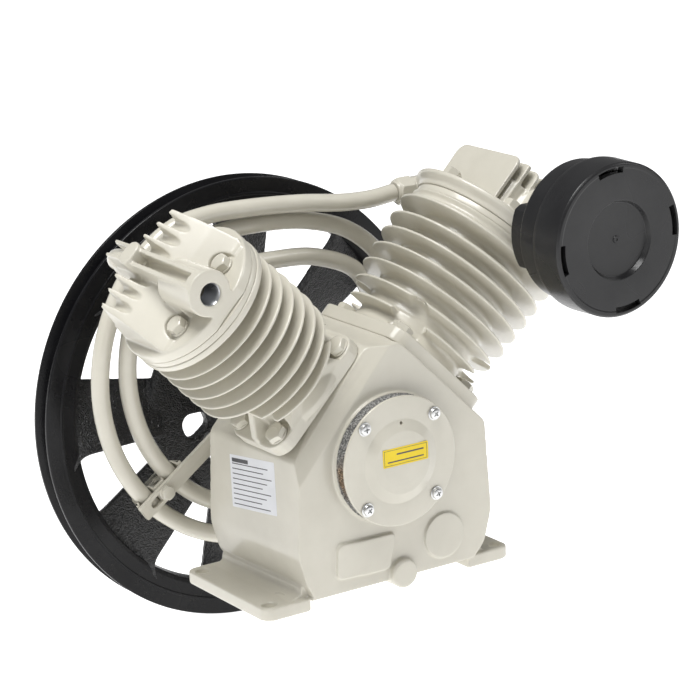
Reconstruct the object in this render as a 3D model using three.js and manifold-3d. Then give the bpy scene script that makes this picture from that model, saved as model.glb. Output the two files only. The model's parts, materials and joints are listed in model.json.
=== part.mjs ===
// Two-stage V-twin compressor pump: a hollow crankcase on two feet, a large low-pressure cylinder to the
// right and a small high-pressure cylinder to the left at 90 degrees, an overhung crankshaft with a belt
// flywheel behind, and an intercooler tube that winds twice round between crankcase and flywheel.
// Frame: millimetres, +X towards the low-pressure side, +Y along the crankshaft towards the flywheel,
// +Z up. The origin is the centre of the four foot bolts on the plane that the feet stand on.
import * as THREE from 'three';
import { mergeVertices } from 'three/addons/utils/BufferGeometryUtils.js';
import Module from 'manifold-3d';

const wasm = await Module();
wasm.setup();

// ---------------------------------------------------------------- driving dimensions
const CRANK_Z = 117.8;                 // crankshaft axis above the feet
const GAP = 0.3;                       // air between pieces that rest on each other

const CASE_FRONT = -66;
const CASE_BACK = 66;
const CASE_WALL = 7;
const DECK = 78;                       // crank axis to the faces that the cylinders stand on
const FRONT_OPENING_R = 45;
const REAR_OPENING_R = 40.3;

const FOOT_OUT = 124.7;
const FOOT_IN = 87.6;
const FOOT_Y = [-61.9, 66.3];
const FOOT_T = 10.9;
const FOOT_HOLE_R = 5.5;
const FOOT_HOLE_X = 115.4;
const FOOT_HOLE_Y = [-51.4, 54.15];

const RING_R = [45.6, 54.5];           // breather ring behind the front cover
const COVER_R = 55.6;
const COVER_BACK = -79.7;
const COVER_FACE = -82.2;
const COVER_SCREW_R = 49;

const STROKE_R = 20;                   // crank throw
const ROD_LENGTH = 145;
const CRANKPIN_R = 8;
const SHAFT_R = 15;
const BEARING_R = 36;

const RIM_R = 200;
const RIM_Y = [159.8, 183.9];
const RIM_INNER_R = 170;
const BLADES = 8;
const BLADE_PHASE = -4;                // degrees from +X of the first blade

// cylinder banks: bore axis in the plane y, barrel sizes, and fin heights and radii from the crank axis
const LARGE = {
  tilt: 45, y: 3, bore: 45, pinR: 8, barrel: 50.5, flangeU: 57.5, flangeY: 61, boltU: 43, boltY: 41,
  topR: 70, segments: 24, headBolts: 6, headBoltR: 63, headBoltTurn: 0,
  fins: [[105.5, 66], [121.5, 70], [137.5, 72.5], [153.5, 73.5], [169.2, 74.7], [184.3, 75.6], [201.5, 76.5]],
};
const SMALL = {
  tilt: -45, y: -19.9, bore: 25, pinR: 6, barrel: 38, flangeU: 57, flangeY: 38, boltU: 43.6, boltY: 27,
  topR: 63.8, segments: 24, headBolts: 4, headBoltR: 42.8, headBoltTurn: 45,
  fins: [[110.5, 56], [123.7, 61.5], [137.7, 63], [151.7, 63], [165.7, 63], [179.5, 62.5], [192.6, 62]],
};
const FLANGE_TOP = 90;
const SPIGOT = 66;
const BARREL_TOP = 212;
const PLATE_TOP = 218;                 // valve plate between barrel and head
const LARGE_HEAD_TOP = 229.7;
const SMALL_HEAD_TOP = 227.8;
const PORT_L = 243.5;                  // height of the head ports above the crank axis

const CAP_R = 65.2;                    // intake filter
const CAP_Y = [-158.5, -126];
const FILTER_R = 60;
const FILTER_Y = [-150, -100];

const TUBE_R = 7.85;                   // intercooler tube
const COIL_Y = 112;

const FINENESS = 0.45;                 // share of the facets named for each round surface
const SHAFT_FACETS = 24;               // pieces that turn or slide in one another share this count

const S = Math.SQRT1_2;

// ---------------------------------------------------------------- materials
function material(color, roughness, metalness) {
  return new THREE.MeshStandardMaterial({ color, roughness, metalness });
}
const castPaint = () => material(0xcdc8b6, 0.42, 0.0);
const tubePaint = () => material(0xd2cdb8, 0.35, 0.0);
const blackPaint = () => material(0x17181a, 0.38, 0.1);
const blackPlastic = () => material(0x2b2b2c, 0.6, 0.0);
const zincSteel = () => material(0xb4b7ba, 0.35, 0.9);
const bareSteel = () => material(0x8d9094, 0.3, 1.0);
const aluminium = () => material(0xa9abad, 0.4, 0.95);
const greyFelt = () => material(0x6b6963, 0.95, 0.0);
const filterPaper = () => material(0xc9bd98, 0.9, 0.0);
const blackRubber = () => material(0x1b1b1b, 0.75, 0.0);

// ---------------------------------------------------------------- solids
function signedVolume(positions, indices) {
  const [a, b, c] = [new THREE.Vector3(), new THREE.Vector3(), new THREE.Vector3()];
  let sum = 0;
  for (let i = 0; i < indices.length; i += 3) {
    a.fromArray(positions, 3 * indices[i]);
    b.fromArray(positions, 3 * indices[i + 1]);
    c.fromArray(positions, 3 * indices[i + 2]);
    sum += a.dot(b.cross(c));
  }
  return sum / 6;
}

// A closed three.js geometry as a manifold solid, with shared corners merged and faces pointing out.
function solid(geometry) {
  const bare = geometry.index ? geometry.toNonIndexed() : geometry.clone();
  bare.deleteAttribute('normal');
  bare.deleteAttribute('uv');
  const welded = mergeVertices(bare, 1e-3);
  const positions = welded.attributes.position.array;
  let triangles = [];
  for (let i = 0; i < welded.index.count; i += 3) {
    const [p, q, r] = [0, 1, 2].map((k) => welded.index.array[i + k]);
    if (p !== q && q !== r && r !== p) triangles.push(p, q, r);
  }
  if (signedVolume(positions, triangles) < 0) triangles = triangles.reverse();
  const mesh = new wasm.Mesh({
    numProp: 3,
    vertProperties: Float32Array.from(positions),
    triVerts: Uint32Array.from(triangles),
  });
  return new wasm.Manifold(mesh);
}

function geometryOf(body) {
  const mesh = body.getMesh();
  const geometry = new THREE.BufferGeometry();
  geometry.setAttribute('position', new THREE.BufferAttribute(Float32Array.from(mesh.vertProperties), 3));
  geometry.setIndex(new THREE.BufferAttribute(Uint32Array.from(mesh.triVerts), 1));
  geometry.computeVertexNormals();
  return geometry;
}

const join = (...bodies) => bodies.reduce((a, b) => a.add(b));
const cut = (body, ...tools) => tools.reduce((a, b) => a.subtract(b), body);

function box(x0, x1, y0, y1, z0, z1) {
  const geometry = new THREE.BoxGeometry(x1 - x0, y1 - y0, z1 - z0);
  return solid(geometry.translate((x0 + x1) / 2, (y0 + y1) / 2, (z0 + z1) / 2));
}

// Facets of a round surface: a multiple of four, and small or exact counts are left alone.
function facets(count) {
  return count <= 8 || count === SHAFT_FACETS ? count : Math.max(8, 4 * Math.round((count * FINENESS) / 4));
}

// Round bars along Y, Z and X; r may be a pair [at the low end, at the high end].
function rodY(r, x, z, y0, y1, segments = 20) {
  const [low, high] = Array.isArray(r) ? r : [r, r];
  const geometry = new THREE.CylinderGeometry(high, low, y1 - y0, facets(segments));
  return solid(geometry.translate(x, (y0 + y1) / 2, z));
}
function rodZ(r, x, y, z0, z1, segments = 20) {
  const [low, high] = Array.isArray(r) ? r : [r, r];
  const geometry = new THREE.CylinderGeometry(high, low, z1 - z0, facets(segments)).rotateX(Math.PI / 2);
  return solid(geometry.translate(x, y, (z0 + z1) / 2));
}
function rodX(r, y, z, x0, x1, segments = 20) {
  const geometry = new THREE.CylinderGeometry(r, r, x1 - x0, facets(segments)).rotateZ(-Math.PI / 2);
  return solid(geometry.translate((x0 + x1) / 2, y, z));
}

// A closed outline with rounded corners; each point is [a, b, radius].
function outline(points) {
  const shape = new THREE.Shape();
  const n = points.length;
  points.forEach(([a, b, radius = 0], i) => {
    const corner = new THREE.Vector2(a, b);
    const before = new THREE.Vector2(...points[(i + n - 1) % n].slice(0, 2)).sub(corner);
    const after = new THREE.Vector2(...points[(i + 1) % n].slice(0, 2)).sub(corner);
    const start = corner.clone().add(before.setLength(Math.min(radius, before.length() * 0.48)));
    const end = corner.clone().add(after.setLength(Math.min(radius, after.length() * 0.48)));
    if (i === 0) shape.moveTo(start.x, start.y);
    else shape.lineTo(start.x, start.y);
    if (radius > 0) shape.quadraticCurveTo(a, b, end.x, end.y);
  });
  shape.closePath();
  return shape;
}

function rectangle(halfA, halfB, radius) {
  return outline([[-halfA, -halfB, radius], [halfA, -halfB, radius],
    [halfA, halfB, radius], [-halfA, halfB, radius]]);
}

// An outline in X and Z swept along Y, and one in X and Y swept along Z, with an optional edge chamfer.
function extruded(shape, length, bevel, curveSegments) {
  return new THREE.ExtrudeGeometry(shape, {
    depth: length - 2 * bevel,
    bevelEnabled: bevel > 0,
    bevelThickness: bevel,
    bevelSize: bevel,
    bevelOffset: -bevel,
    bevelSegments: 1,
    curveSegments,
  }).translate(0, 0, bevel);
}
function prismY(shape, y0, y1, bevel = 0, curveSegments = 2) {
  return solid(extruded(shape, y1 - y0, bevel, curveSegments).rotateX(Math.PI / 2).translate(0, y1, 0));
}
function prismZ(shape, z0, z1, bevel = 0, curveSegments = 2) {
  return solid(extruded(shape, z1 - z0, bevel, curveSegments).translate(0, 0, z0));
}
// An outline in Y and Z swept along X.
function prismX(shape, x0, x1, curveSegments = 2) {
  const geometry = extruded(shape, x1 - x0, 0, curveSegments);
  return solid(geometry.rotateZ(Math.PI / 2).rotateY(Math.PI / 2).translate(x0, 0, 0));
}

// A turned solid from [radius, height] points that start and end on the axis, about Z or about Y.
function turnedZ(profile, segments = 40) {
  const points = profile.map(([r, h]) => new THREE.Vector2(r, h));
  return solid(new THREE.LatheGeometry(points, facets(segments)).rotateX(Math.PI / 2));
}
function turnedY(profile, x, z, segments = 40) {
  const points = profile.map(([r, h]) => new THREE.Vector2(r, h));
  return solid(new THREE.LatheGeometry(points, facets(segments)).translate(x, 0, z));
}

// ---------------------------------------------------------------- scene graph
const pump = new THREE.Group();

function bankGroup(bank) {
  const group = new THREE.Group();
  group.position.set(0, bank.y, CRANK_Z);
  group.rotation.y = THREE.MathUtils.degToRad(bank.tilt);
  pump.add(group);
  return group;
}
const largeGroup = bankGroup(LARGE);
const smallGroup = bankGroup(SMALL);

function add(parent, name, body, look) {
  const mesh = new THREE.Mesh(geometryOf(body), look);
  mesh.name = name;
  parent.add(mesh);
  return mesh;
}

// The same solid in the pump's frame, for cutting a bank's bores into the crankcase.
function inPumpFrame(bank, body) {
  const geometry = geometryOf(body);
  geometry.rotateY(THREE.MathUtils.degToRad(bank.tilt)).translate(0, bank.y, CRANK_Z);
  return solid(geometry);
}

const corners = (a, b) => [[-a, -b], [a, -b], [a, b], [-a, b]];

// ---------------------------------------------------------------- crankcase
// Front view of the casting: sump bottom, flared walls, and two decks at 45 degrees that meet on top.
function caseOutline(inset) {
  const top = CRANK_Z + (DECK - inset) * Math.SQRT2;
  const shoulderX = 98.5 - inset;
  const apexX = 15 - inset * 0.4;
  const half = [
    [86 - inset, 10 + inset, 6],
    [97 - inset, 28 + inset * 0.5, 12],
    [103 - inset, 52, 20],
    [shoulderX, top - shoulderX, 9],
    [apexX, top - apexX, 8],
  ];
  const mirrored = half.map(([x, z, r]) => [-x, z, r]).reverse();
  return outline([...half, ...mirrored]);
}

function foot(side) {
  const middle = side * (FOOT_OUT + FOOT_IN) / 2;
  const plate = rectangle((FOOT_OUT - FOOT_IN) / 2, (FOOT_Y[1] - FOOT_Y[0]) / 2, 7);
  const plateSolid = new THREE.ExtrudeGeometry(plate, {
    depth: FOOT_T - 1.5, bevelEnabled: true, bevelThickness: 1.5, bevelSize: 1.5, bevelOffset: -1.5,
    bevelSegments: 1, curveSegments: 4,
  });
  const flat = cut(
    solid(plateSolid.translate(middle, (FOOT_Y[0] + FOOT_Y[1]) / 2, 0)),
    box(-FOOT_OUT - 1, FOOT_OUT + 1, -80, 80, -5, 0),
  );
  const fillet = outline([[side * FOOT_IN, 8], [side * 106, 8], [side * 99.5, 14, 4], [side * 98, 30],
    [side * 85, 30]]);
  return join(flat, prismY(fillet, FOOT_Y[0] + 3, FOOT_Y[1] - 1.5, 0, 2));
}

function crankcase() {
  let body = prismY(caseOutline(0), CASE_FRONT, CASE_BACK, 5, 2);
  // the front edge of the left deck is bevelled back to the small cylinder's flange
  const deckEdge = new THREE.BoxGeometry(140, 24, 40).rotateX(THREE.MathUtils.degToRad(-26));
  deckEdge.translate(0, -72, DECK + 4).rotateY(THREE.MathUtils.degToRad(SMALL.tilt)).translate(0, 0, CRANK_Z);
  body = cut(body, solid(deckEdge));
  body = join(body, foot(1), foot(-1));
  // cast-on details of the front face: a blank name pad, a round pad and the drain boss
  body = join(
    body,
    prismY(outline([[-58, 23, 4], [-5, 21, 4], [0, 50, 4], [-56, 52, 4]]), CASE_FRONT - 2, CASE_FRONT + 4,
      0, 1),
    rodY([18.5, 20.5], 52, 38, CASE_FRONT - 2, CASE_FRONT + 4, 24),
    rodY([11, 12.5], 8.5, 14.5, CASE_FRONT - 6, CASE_FRONT + 30, 20),
    rodY(55, 0, CRANK_Z, CASE_FRONT - 3, CASE_FRONT + 4, 40),
    rodY(8, BRACKET.foot.x, BRACKET.foot.y, CASE_BACK - 4, BRACKET.y0 - GAP, 16),
  );
  const cavity = prismY(caseOutline(CASE_WALL), CASE_FRONT + CASE_WALL, CASE_BACK - CASE_WALL, 0, 1);
  body = cut(
    body,
    cavity,
    rodY(FRONT_OPENING_R, 0, CRANK_Z, CASE_FRONT - 9, CASE_FRONT + 20, 40),
    rodY(REAR_OPENING_R, 0, CRANK_Z, CASE_BACK - 20, CASE_BACK + 9, 40),
    inPumpFrame(LARGE, rodZ(49.8, 0, 0, 50, DECK + 20, SHAFT_FACETS)),
    inPumpFrame(SMALL, rodZ(31.8, 0, 0, 50, DECK + 20, SHAFT_FACETS)),
  );
  for (const [x, y] of [-1, 1].flatMap((side) => FOOT_HOLE_Y.map((y) => [side * FOOT_HOLE_X, y]))) {
    body = cut(body, rodZ(FOOT_HOLE_R, x, y, -5, FOOT_T + 5, 16));
  }
  for (const bank of [LARGE, SMALL]) {
    for (const [u, y] of corners(bank.boltU, bank.boltY)) {
      body = cut(body, inPumpFrame(bank, rodZ(5.3, u, y, DECK - 16, DECK + 9, 8)));
    }
  }
  for (const [x, z] of corners(COVER_SCREW_R * S, COVER_SCREW_R * S)) {
    body = cut(body, rodY(2.8, x, CRANK_Z + z, CASE_FRONT - 9, CASE_FRONT + 14, 8));
  }
  for (const [x, z] of corners(CARRIER_BOLT_R * S, CARRIER_BOLT_R * S)) {
    body = cut(body, rodY(4.3, x, CRANK_Z + z, CASE_BACK - 12, CASE_BACK + 9, 8));
  }
  return cut(body, rodY(3.3, BRACKET.foot.x, BRACKET.foot.y, CASE_BACK + 12, BRACKET.y0 + 5, 8));
}

// ---------------------------------------------------------------- front cover and breather ring
function frontCover() {
  const dome = [[0, COVER_FACE - 3.3], [27, COVER_FACE - 3.3], [34, COVER_FACE], [COVER_R - 0.8, COVER_FACE],
    [COVER_R, COVER_FACE + 0.8], [COVER_R, COVER_BACK], [32.5, COVER_BACK], [26, COVER_FACE - 1], [0,
      COVER_FACE - 1]];
  let body = turnedY(dome, 0, CRANK_Z, 48);
  for (const [x, z] of corners(COVER_SCREW_R * S, COVER_SCREW_R * S)) {
    body = cut(body, rodY(2.9, x, CRANK_Z + z, COVER_FACE - 5, COVER_BACK + 5, 8));
  }
  return cut(body, rodY(1.4, 4, CRANK_Z + 32, COVER_FACE - 8, COVER_BACK + 8, 8));
}

function breatherRing() {
  let body = cut(
    rodY(RING_R[1], 0, CRANK_Z, COVER_BACK + GAP, CASE_FRONT - 3 - GAP, 40),
    rodY(RING_R[0] - 6, 0, CRANK_Z, COVER_BACK - 5, CASE_FRONT, 40),
  );
  for (const [x, z] of corners(COVER_SCREW_R * S, COVER_SCREW_R * S)) {
    body = cut(body, rodY(2.9, x, CRANK_Z + z, COVER_BACK - 5, CASE_FRONT, 8));
  }
  return body;
}

function coverScrew(x, z) {
  const head = turnedY([[0, COVER_FACE - 3.6], [3.2, COVER_FACE - 3.2], [4.9, COVER_FACE - 1.2],
    [4.9, COVER_FACE - GAP], [0, COVER_FACE - GAP]], x, z, 14);
  const slots = [[4, 0.7], [0.7, 4]].map(([a, b]) => box(x - a, x + a, COVER_FACE - 6, COVER_FACE - 2.2,
    z - b, z + b));
  const cross = cut(head, ...slots.map((slot) => slot.intersect(rodY(3, x, z, COVER_FACE - 7, COVER_FACE,
    12))));
  return join(cross, rodY(2.4, x, z, COVER_FACE - 1, CASE_FRONT + 9, 8));
}

// ---------------------------------------------------------------- rear bearing carrier, bearings, seal
const CARRIER_R = 58;
const CARRIER_BOLT_R = 50.5;
const CARRIER_END = 140;
const BEARING_WIDTH = 19;
const FRONT_BEARING_Y = 60;
const REAR_BEARING_Y = 112;

function bearingCarrier() {
  const start = CASE_BACK - CASE_WALL;
  let body = turnedY([[0, start], [REAR_OPENING_R - 0.3, start], [REAR_OPENING_R - 0.3, CASE_BACK + GAP],
    [CARRIER_R, CASE_BACK + GAP], [CARRIER_R, CASE_BACK + 9], [42.6, CASE_BACK + 9], [41.5, CARRIER_END],
    [0, CARRIER_END]], 0, CRANK_Z, 40);
  body = cut(
    body,
    rodY(BEARING_R + GAP, 0, CRANK_Z, start - 5, FRONT_BEARING_Y + BEARING_WIDTH + GAP, SHAFT_FACETS),
    rodY(30, 0, CRANK_Z, start, CARRIER_END, SHAFT_FACETS),
    rodY(BEARING_R + GAP, 0, CRANK_Z, REAR_BEARING_Y - GAP, CARRIER_END + 5, SHAFT_FACETS),
  );
  for (const [x, z] of corners(CARRIER_BOLT_R * S, CARRIER_BOLT_R * S)) {
    body = cut(body, rodY(4.3, x, CRANK_Z + z, CASE_BACK - 5, CASE_BACK + 25, 8));
  }
  return body;
}

const ring = (outer, inner, y0, y1) => cut(
  rodY(outer, 0, CRANK_Z, y0, y1, SHAFT_FACETS),
  rodY(inner, 0, CRANK_Z, y0 - 2, y1 + 2, SHAFT_FACETS),
);

// ---------------------------------------------------------------- bolts
// A hexagon bolt along Z with its seat at z = seat, pointing down.
function hexBolt(x, y, seat, shankR, length, across, headHeight) {
  const headR = across / Math.sqrt(3);
  const profile = [[0, -length], [shankR, -length], [shankR, 0], [headR, 0], [headR, headHeight - 1.2],
    [headR - 1.4, headHeight], [0, headHeight]];
  return turnedZ(profile, 6).translate(x, y, seat);
}

// The same bolt along Y, head towards +Y when sign is 1 and towards -Y when it is -1.
function hexBoltY(x, z, seat, shankR, length, across, headHeight, sign) {
  const geometry = geometryOf(hexBolt(0, 0, 0, shankR, length, across, headHeight));
  geometry.rotateX(-sign * Math.PI / 2).translate(x, seat, z);
  return solid(geometry);
}

// ---------------------------------------------------------------- crankshaft
const WEB_Y = [16.5, 34];
const PIN_END = -31.5;
const SHAFT_END = 190;
const KEY = { half: 4, low: 10.6, high: 18.2, y0: 153, y1: 186 };

function crankshaft() {
  const weight = outline([[-20, 8, 6], [-54, -14, 16], [-34, -52, 26], [34, -52, 26], [54, -14, 16], [20,
    8, 6],
    [16, STROKE_R + 6, 12], [0, STROKE_R + 17, 10], [-16, STROKE_R + 6, 12]]);
  const web = prismY(weight, ...WEB_Y, 0, 5);
  const line = join(
    solid(geometryOf(web).translate(0, 0, CRANK_Z)),
    rodY(CRANKPIN_R, 0, CRANK_Z + STROKE_R, PIN_END, WEB_Y[0] + 3, 24),
    rodY(20, 0, CRANK_Z, WEB_Y[1] - 1, FRONT_BEARING_Y - GAP, SHAFT_FACETS),
    rodY(SHAFT_R, 0, CRANK_Z, WEB_Y[1], SHAFT_END, SHAFT_FACETS),
    rodY(18, 0, CRANK_Z, FRONT_BEARING_Y + BEARING_WIDTH + GAP, REAR_BEARING_Y - GAP, SHAFT_FACETS),
  );
  return cut(
    line,
    box(-KEY.half - GAP, KEY.half + GAP, KEY.y0 - GAP, KEY.y1 + GAP, CRANK_Z + KEY.low - GAP, CRANK_Z + 30),
    rodY(6.3, 0, CRANK_Z, SHAFT_END - 26, SHAFT_END + 5, 12),
    rodY(4.3, 0, CRANK_Z + STROKE_R, PIN_END - 5, PIN_END + 21, 8),
  );
}

// ---------------------------------------------------------------- flywheel
const HUB_R = 34;
const HUB_Y = [147, 189];
const WEB_R = 94;
const BLADE_T = 7;

// One pitched blade of the fan: its anticlockwise edge is at the front of the rim, its other edge behind.
function blade(turn) {
  const inner = 86;
  const outer = RIM_INNER_R + 5;
  const sections = [[inner, 24, 17], [outer, 33, 19]];
  const corner = (radius, half, rise, edge, side) => {
    const point = new THREE.Vector3(radius, -edge * rise / 2, edge * half);
    const normal = new THREE.Vector3(0, half * 2, rise).normalize();
    return point.addScaledVector(normal, side * BLADE_T / 2);
  };
  const points = sections.flatMap(([radius, half, rise]) => [
    corner(radius, half, rise, -1, -1), corner(radius, half, rise, 1, -1),
    corner(radius, half, rise, 1, 1), corner(radius, half, rise, -1, 1),
  ]);
  const faces = [0, 1, 2, 0, 2, 3, 4, 6, 5, 4, 7, 6, 0, 4, 5, 0, 5, 1, 1, 5, 6, 1, 6, 2, 2, 6, 7, 2, 7, 3,
    3, 7, 4, 3, 4, 0];
  const geometry = new THREE.BufferGeometry();
  geometry.setAttribute('position', new THREE.Float32BufferAttribute(points.flatMap((p) => p.toArray()), 3));
  geometry.setIndex(faces);
  geometry.rotateY(THREE.MathUtils.degToRad(-turn)).translate(0, (RIM_Y[0] + RIM_Y[1]) / 2, CRANK_Z);
  return solid(geometry);
}

function flywheel() {
  const [front, back] = RIM_Y;
  const middle = (front + back) / 2;
  const rimProfile = [[0, front], [RIM_R - 14, front], [RIM_R, front + 0.6], [RIM_R, front + 3.4],
    [RIM_R - 15, middle - 4.2], [RIM_R - 15, middle + 4.2], [RIM_R, back - 3.4], [RIM_R, back - 0.6],
    [RIM_R - 14, back], [0, back]];
  let body = cut(
    turnedY(rimProfile, 0, CRANK_Z, 80),
    rodY([RIM_INNER_R, RIM_INNER_R - 2], 0, CRANK_Z, front - 1, back + 1, 80),
  );
  // the thin raised line round the front face of the rim
  body = join(body, cut(rodY(186, 0, CRANK_Z, front - 0.8, front + 1, 80), rodY(184.6, 0, CRANK_Z,
    front - 2, front + 2, 80)));
  for (let i = 0; i < BLADES; i += 1) body = join(body, blade(BLADE_PHASE + (i * 360) / BLADES));
  body = join(
    body,
    rodY(WEB_R, 0, CRANK_Z, middle - 5, middle + 5, 48),
    rodY([HUB_R, HUB_R + 2], 0, CRANK_Z, HUB_Y[0], middle, 36),
    rodY([HUB_R + 2, HUB_R], 0, CRANK_Z, middle, HUB_Y[1], 36),
  );
  // rounded windows between the hub and the web ring, one opposite each gap between blades
  const pane = outline([[39, -7, 4], [64, -15, 8], [64, 15, 8], [39, 7, 4]]);
  for (let i = 0; i < BLADES; i += 1) {
    const turn = THREE.MathUtils.degToRad(BLADE_PHASE + ((i + 0.5) * 360) / BLADES);
    const window = geometryOf(prismY(pane, middle - 12, middle + 12, 0, 3)).rotateY(-turn).translate(0, 0,
      CRANK_Z);
    body = cut(body, solid(window));
  }
  return cut(
    body,
    rodY(SHAFT_R + GAP, 0, CRANK_Z, HUB_Y[0] - 5, HUB_Y[1] + 5, SHAFT_FACETS),
    box(-KEY.half - GAP, KEY.half + GAP, HUB_Y[0] - 2, HUB_Y[1] + 5, CRANK_Z, CRANK_Z + KEY.high + GAP),
  );
}

// ---------------------------------------------------------------- cylinders (bank frame: Z up the bore)
const FIN_ROOT = 2.3;
const FIN_TIP = 1.1;

function barrel(bank) {
  const profile = [[0, SPIGOT], [bank === LARGE ? 49.2 : 31.2, SPIGOT], [bank === LARGE ? 49.2 : 31.2,
    FLANGE_TOP],
    [bank.barrel, FLANGE_TOP]];
  for (const [height, radius] of bank.fins) {
    profile.push([bank.barrel, height - FIN_ROOT], [radius, height - FIN_TIP], [radius, height + FIN_TIP]);
    if (height < 200) profile.push([bank.barrel, height + FIN_ROOT]);
  }
  if (bank === LARGE) profile.push([bank.topR, 205.5], [bank.topR, BARREL_TOP]);
  else profile.push([bank.barrel, 202.5], [bank.topR, 204.5], [bank.topR, BARREL_TOP]);
  profile.push([0, BARREL_TOP]);
  let body = turnedZ(profile, bank.segments);
  for (const [u, y] of corners(bank.boltU, bank.boltY)) {
    body = cut(body, rodZ(14, u, y, FLANGE_TOP, FLANGE_TOP + 40, 8));
  }
  const flange = rectangle(bank.flangeU, bank.flangeY, 15);
  body = join(body, prismZ(flange, DECK + GAP, FLANGE_TOP + 1, 0, 3));
  if (bank === SMALL) {
    for (const [u, y] of headBoltPlaces(bank)) body = join(body, rodZ(7, u, y, 190, 206, 8));
  }
  body = cut(body, rodZ(bank.bore + 0.15, 0, 0, SPIGOT - 5, BARREL_TOP + 5, SHAFT_FACETS));
  for (const [u, y] of corners(bank.boltU, bank.boltY)) body = cut(body, rodZ(5.3, u, y, DECK - 5,
    FLANGE_TOP + 5, 8));
  for (const [u, y] of headBoltPlaces(bank)) body = cut(body, rodZ(4.3, u, y, 194, BARREL_TOP + 5, 8));
  return body;
}

function headBoltPlaces(bank) {
  return Array.from({ length: bank.headBolts }, (_, i) => {
    const angle = THREE.MathUtils.degToRad(bank.headBoltTurn + (i * 360) / bank.headBolts);
    return [bank.headBoltR * Math.cos(angle), bank.headBoltR * Math.sin(angle)];
  });
}

function valvePlate(bank) {
  let body = rodZ(bank.topR - 0.8, 0, 0, BARREL_TOP + GAP, PLATE_TOP - GAP, 40);
  for (const side of [-1, 1]) body = cut(body, rodZ(7, 0, side * 14, BARREL_TOP - 5, PLATE_TOP + 5, 16));
  for (const [u, y] of headBoltPlaces(bank)) body = cut(body, rodZ(4.3, u, y, BARREL_TOP - 5,
    PLATE_TOP + 5, 8));
  return body;
}

// ---------------------------------------------------------------- heads
const LARGE_OUTLET_U = -12;
const LARGE_OUTLET_Y = 78;
const LARGE_FIN_TOP = 275;

function largeHead() {
  let body = turnedZ([[0, PLATE_TOP], [71, PLATE_TOP], [72, 221], [77, 226], [77, LARGE_HEAD_TOP - 0.8],
    [76.2, LARGE_HEAD_TOP], [0, LARGE_HEAD_TOP]], 48);
  body = join(body, prismZ(rectangle(38, 47, 10), LARGE_HEAD_TOP - 1, 256));
  for (let i = -4; i <= 4; i += 1) {
    const u = i * 10.5;
    const reach = Math.min(Math.sqrt(60 ** 2 - u ** 2), Math.abs(i) === 3 ? 44 : 49.5);
    const plate = outline([[-reach, LARGE_HEAD_TOP - 1], [reach, LARGE_HEAD_TOP - 1], [reach,
      LARGE_FIN_TOP, 9],
      [-reach, LARGE_FIN_TOP, 9]]);
    body = join(body, prismX(plate, u - 2, u + 2));
  }
  body = join(
    body,
    rodY(25, 0, PORT_L, -80.5, -30, 28),
    rodY(14, LARGE_OUTLET_U, PORT_L, 30, LARGE_OUTLET_Y, 24),
  );
  body = cut(
    body,
    box(-28, 28, -40, -3, PLATE_TOP - 5, 246),
    box(-28, 28, 3, 40, PLATE_TOP - 5, 246),
    rodY(19.5, 0, PORT_L, -90, -36, 28),
    rodY(8.3, LARGE_OUTLET_U, PORT_L, 36, LARGE_OUTLET_Y + 5, 20),
  );
  for (const [u, y] of headBoltPlaces(LARGE)) {
    body = cut(body, rodZ(9.2, u, y, LARGE_HEAD_TOP, 300, 8), rodZ(4.3, u, y, PLATE_TOP - 5,
      LARGE_HEAD_TOP + 5, 8));
  }
  return body;
}

const SMALL_PORT_FACE = -60.6;            // flat front face of the discharge boss, in the bank frame
const SMALL_PORT_R = 9.3;

function smallHead() {
  const pitch = 13.5;
  // saw-tooth section across the eight fins, tallest in the middle
  const tops = [257, 259, 262, 269, 269, 262, 259, 257];
  const comb = [[-51, SMALL_HEAD_TOP - 1]];
  tops.forEach((top, i) => {
    const u = (i - 3.5) * pitch;
    comb.push([u - 2.6, 248 + (top - 257) * 0.4], [u - 1.4, top], [u + 1.4, top], [u + 2.6,
      248 + (top - 257) * 0.4]);
    if (i < tops.length - 1) comb.push([u + pitch / 2, 245 + (top - 257) * 0.3]);
  });
  comb.push([51, SMALL_HEAD_TOP - 1]);
  const finBlock = prismY(outline(comb), -48, 60).intersect(rodZ(60.5, 0, 0, 200, 300, 48));
  // the outer fins slope down to the front corners, where the front bolts stand clear
  const slope = new THREE.BoxGeometry(140, 80, 60).rotateX(THREE.MathUtils.degToRad(-32));
  const slopes = [-1, 1].map((side) => box(side < 0 ? -80 : 24, side < 0 ? -24 : 80, -90, 80, 200, 320)
    .intersect(solid(slope.clone().translate(0, -56, 268))));
  let body = cut(finBlock, ...slopes);
  body = join(
    body,
    turnedZ([[0, PLATE_TOP], [63.5, PLATE_TOP], [63.5, SMALL_HEAD_TOP - 0.8], [62.7, SMALL_HEAD_TOP], [0,
      SMALL_HEAD_TOP]], 48),
    rodY(20, 0, PORT_L, -62, 10, 28),
    box(-20, 20, -62, 10, SMALL_HEAD_TOP - 1, PORT_L),
    rodY(15, 0, PORT_L, 30, 62, 20),
    prismZ(outline([[-11, 24, 3], [11, 24, 3], [11, 38, 5], [-11, 38, 5]]), 250, 270.5),
  );
  for (const side of [-1, 1]) {
    body = cut(body, rodZ(13.5, side * 30.3, -30.3, SMALL_HEAD_TOP, 300, 20));
    body = cut(body, rodZ(11, side * 30.3, 30.3, SMALL_HEAD_TOP, 300, 16));
  }
  body = cut(
    body,
    box(-80, 80, -120, SMALL_PORT_FACE, 200, 300),
    box(-20, 20, -36, -3, PLATE_TOP - 5, 243),
    box(-20, 20, 3, 36, PLATE_TOP - 5, 243),
    rodY(SMALL_PORT_R, 0, PORT_L - 2, -70, -30, 24),
    rodY(8.3, 0, PORT_L, 30, 70, 16),
  );
  for (const [u, y] of headBoltPlaces(SMALL)) body = cut(body, rodZ(4.3, u, y, PLATE_TOP - 5,
    SMALL_HEAD_TOP + 5, 8));
  return body;
}

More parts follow.
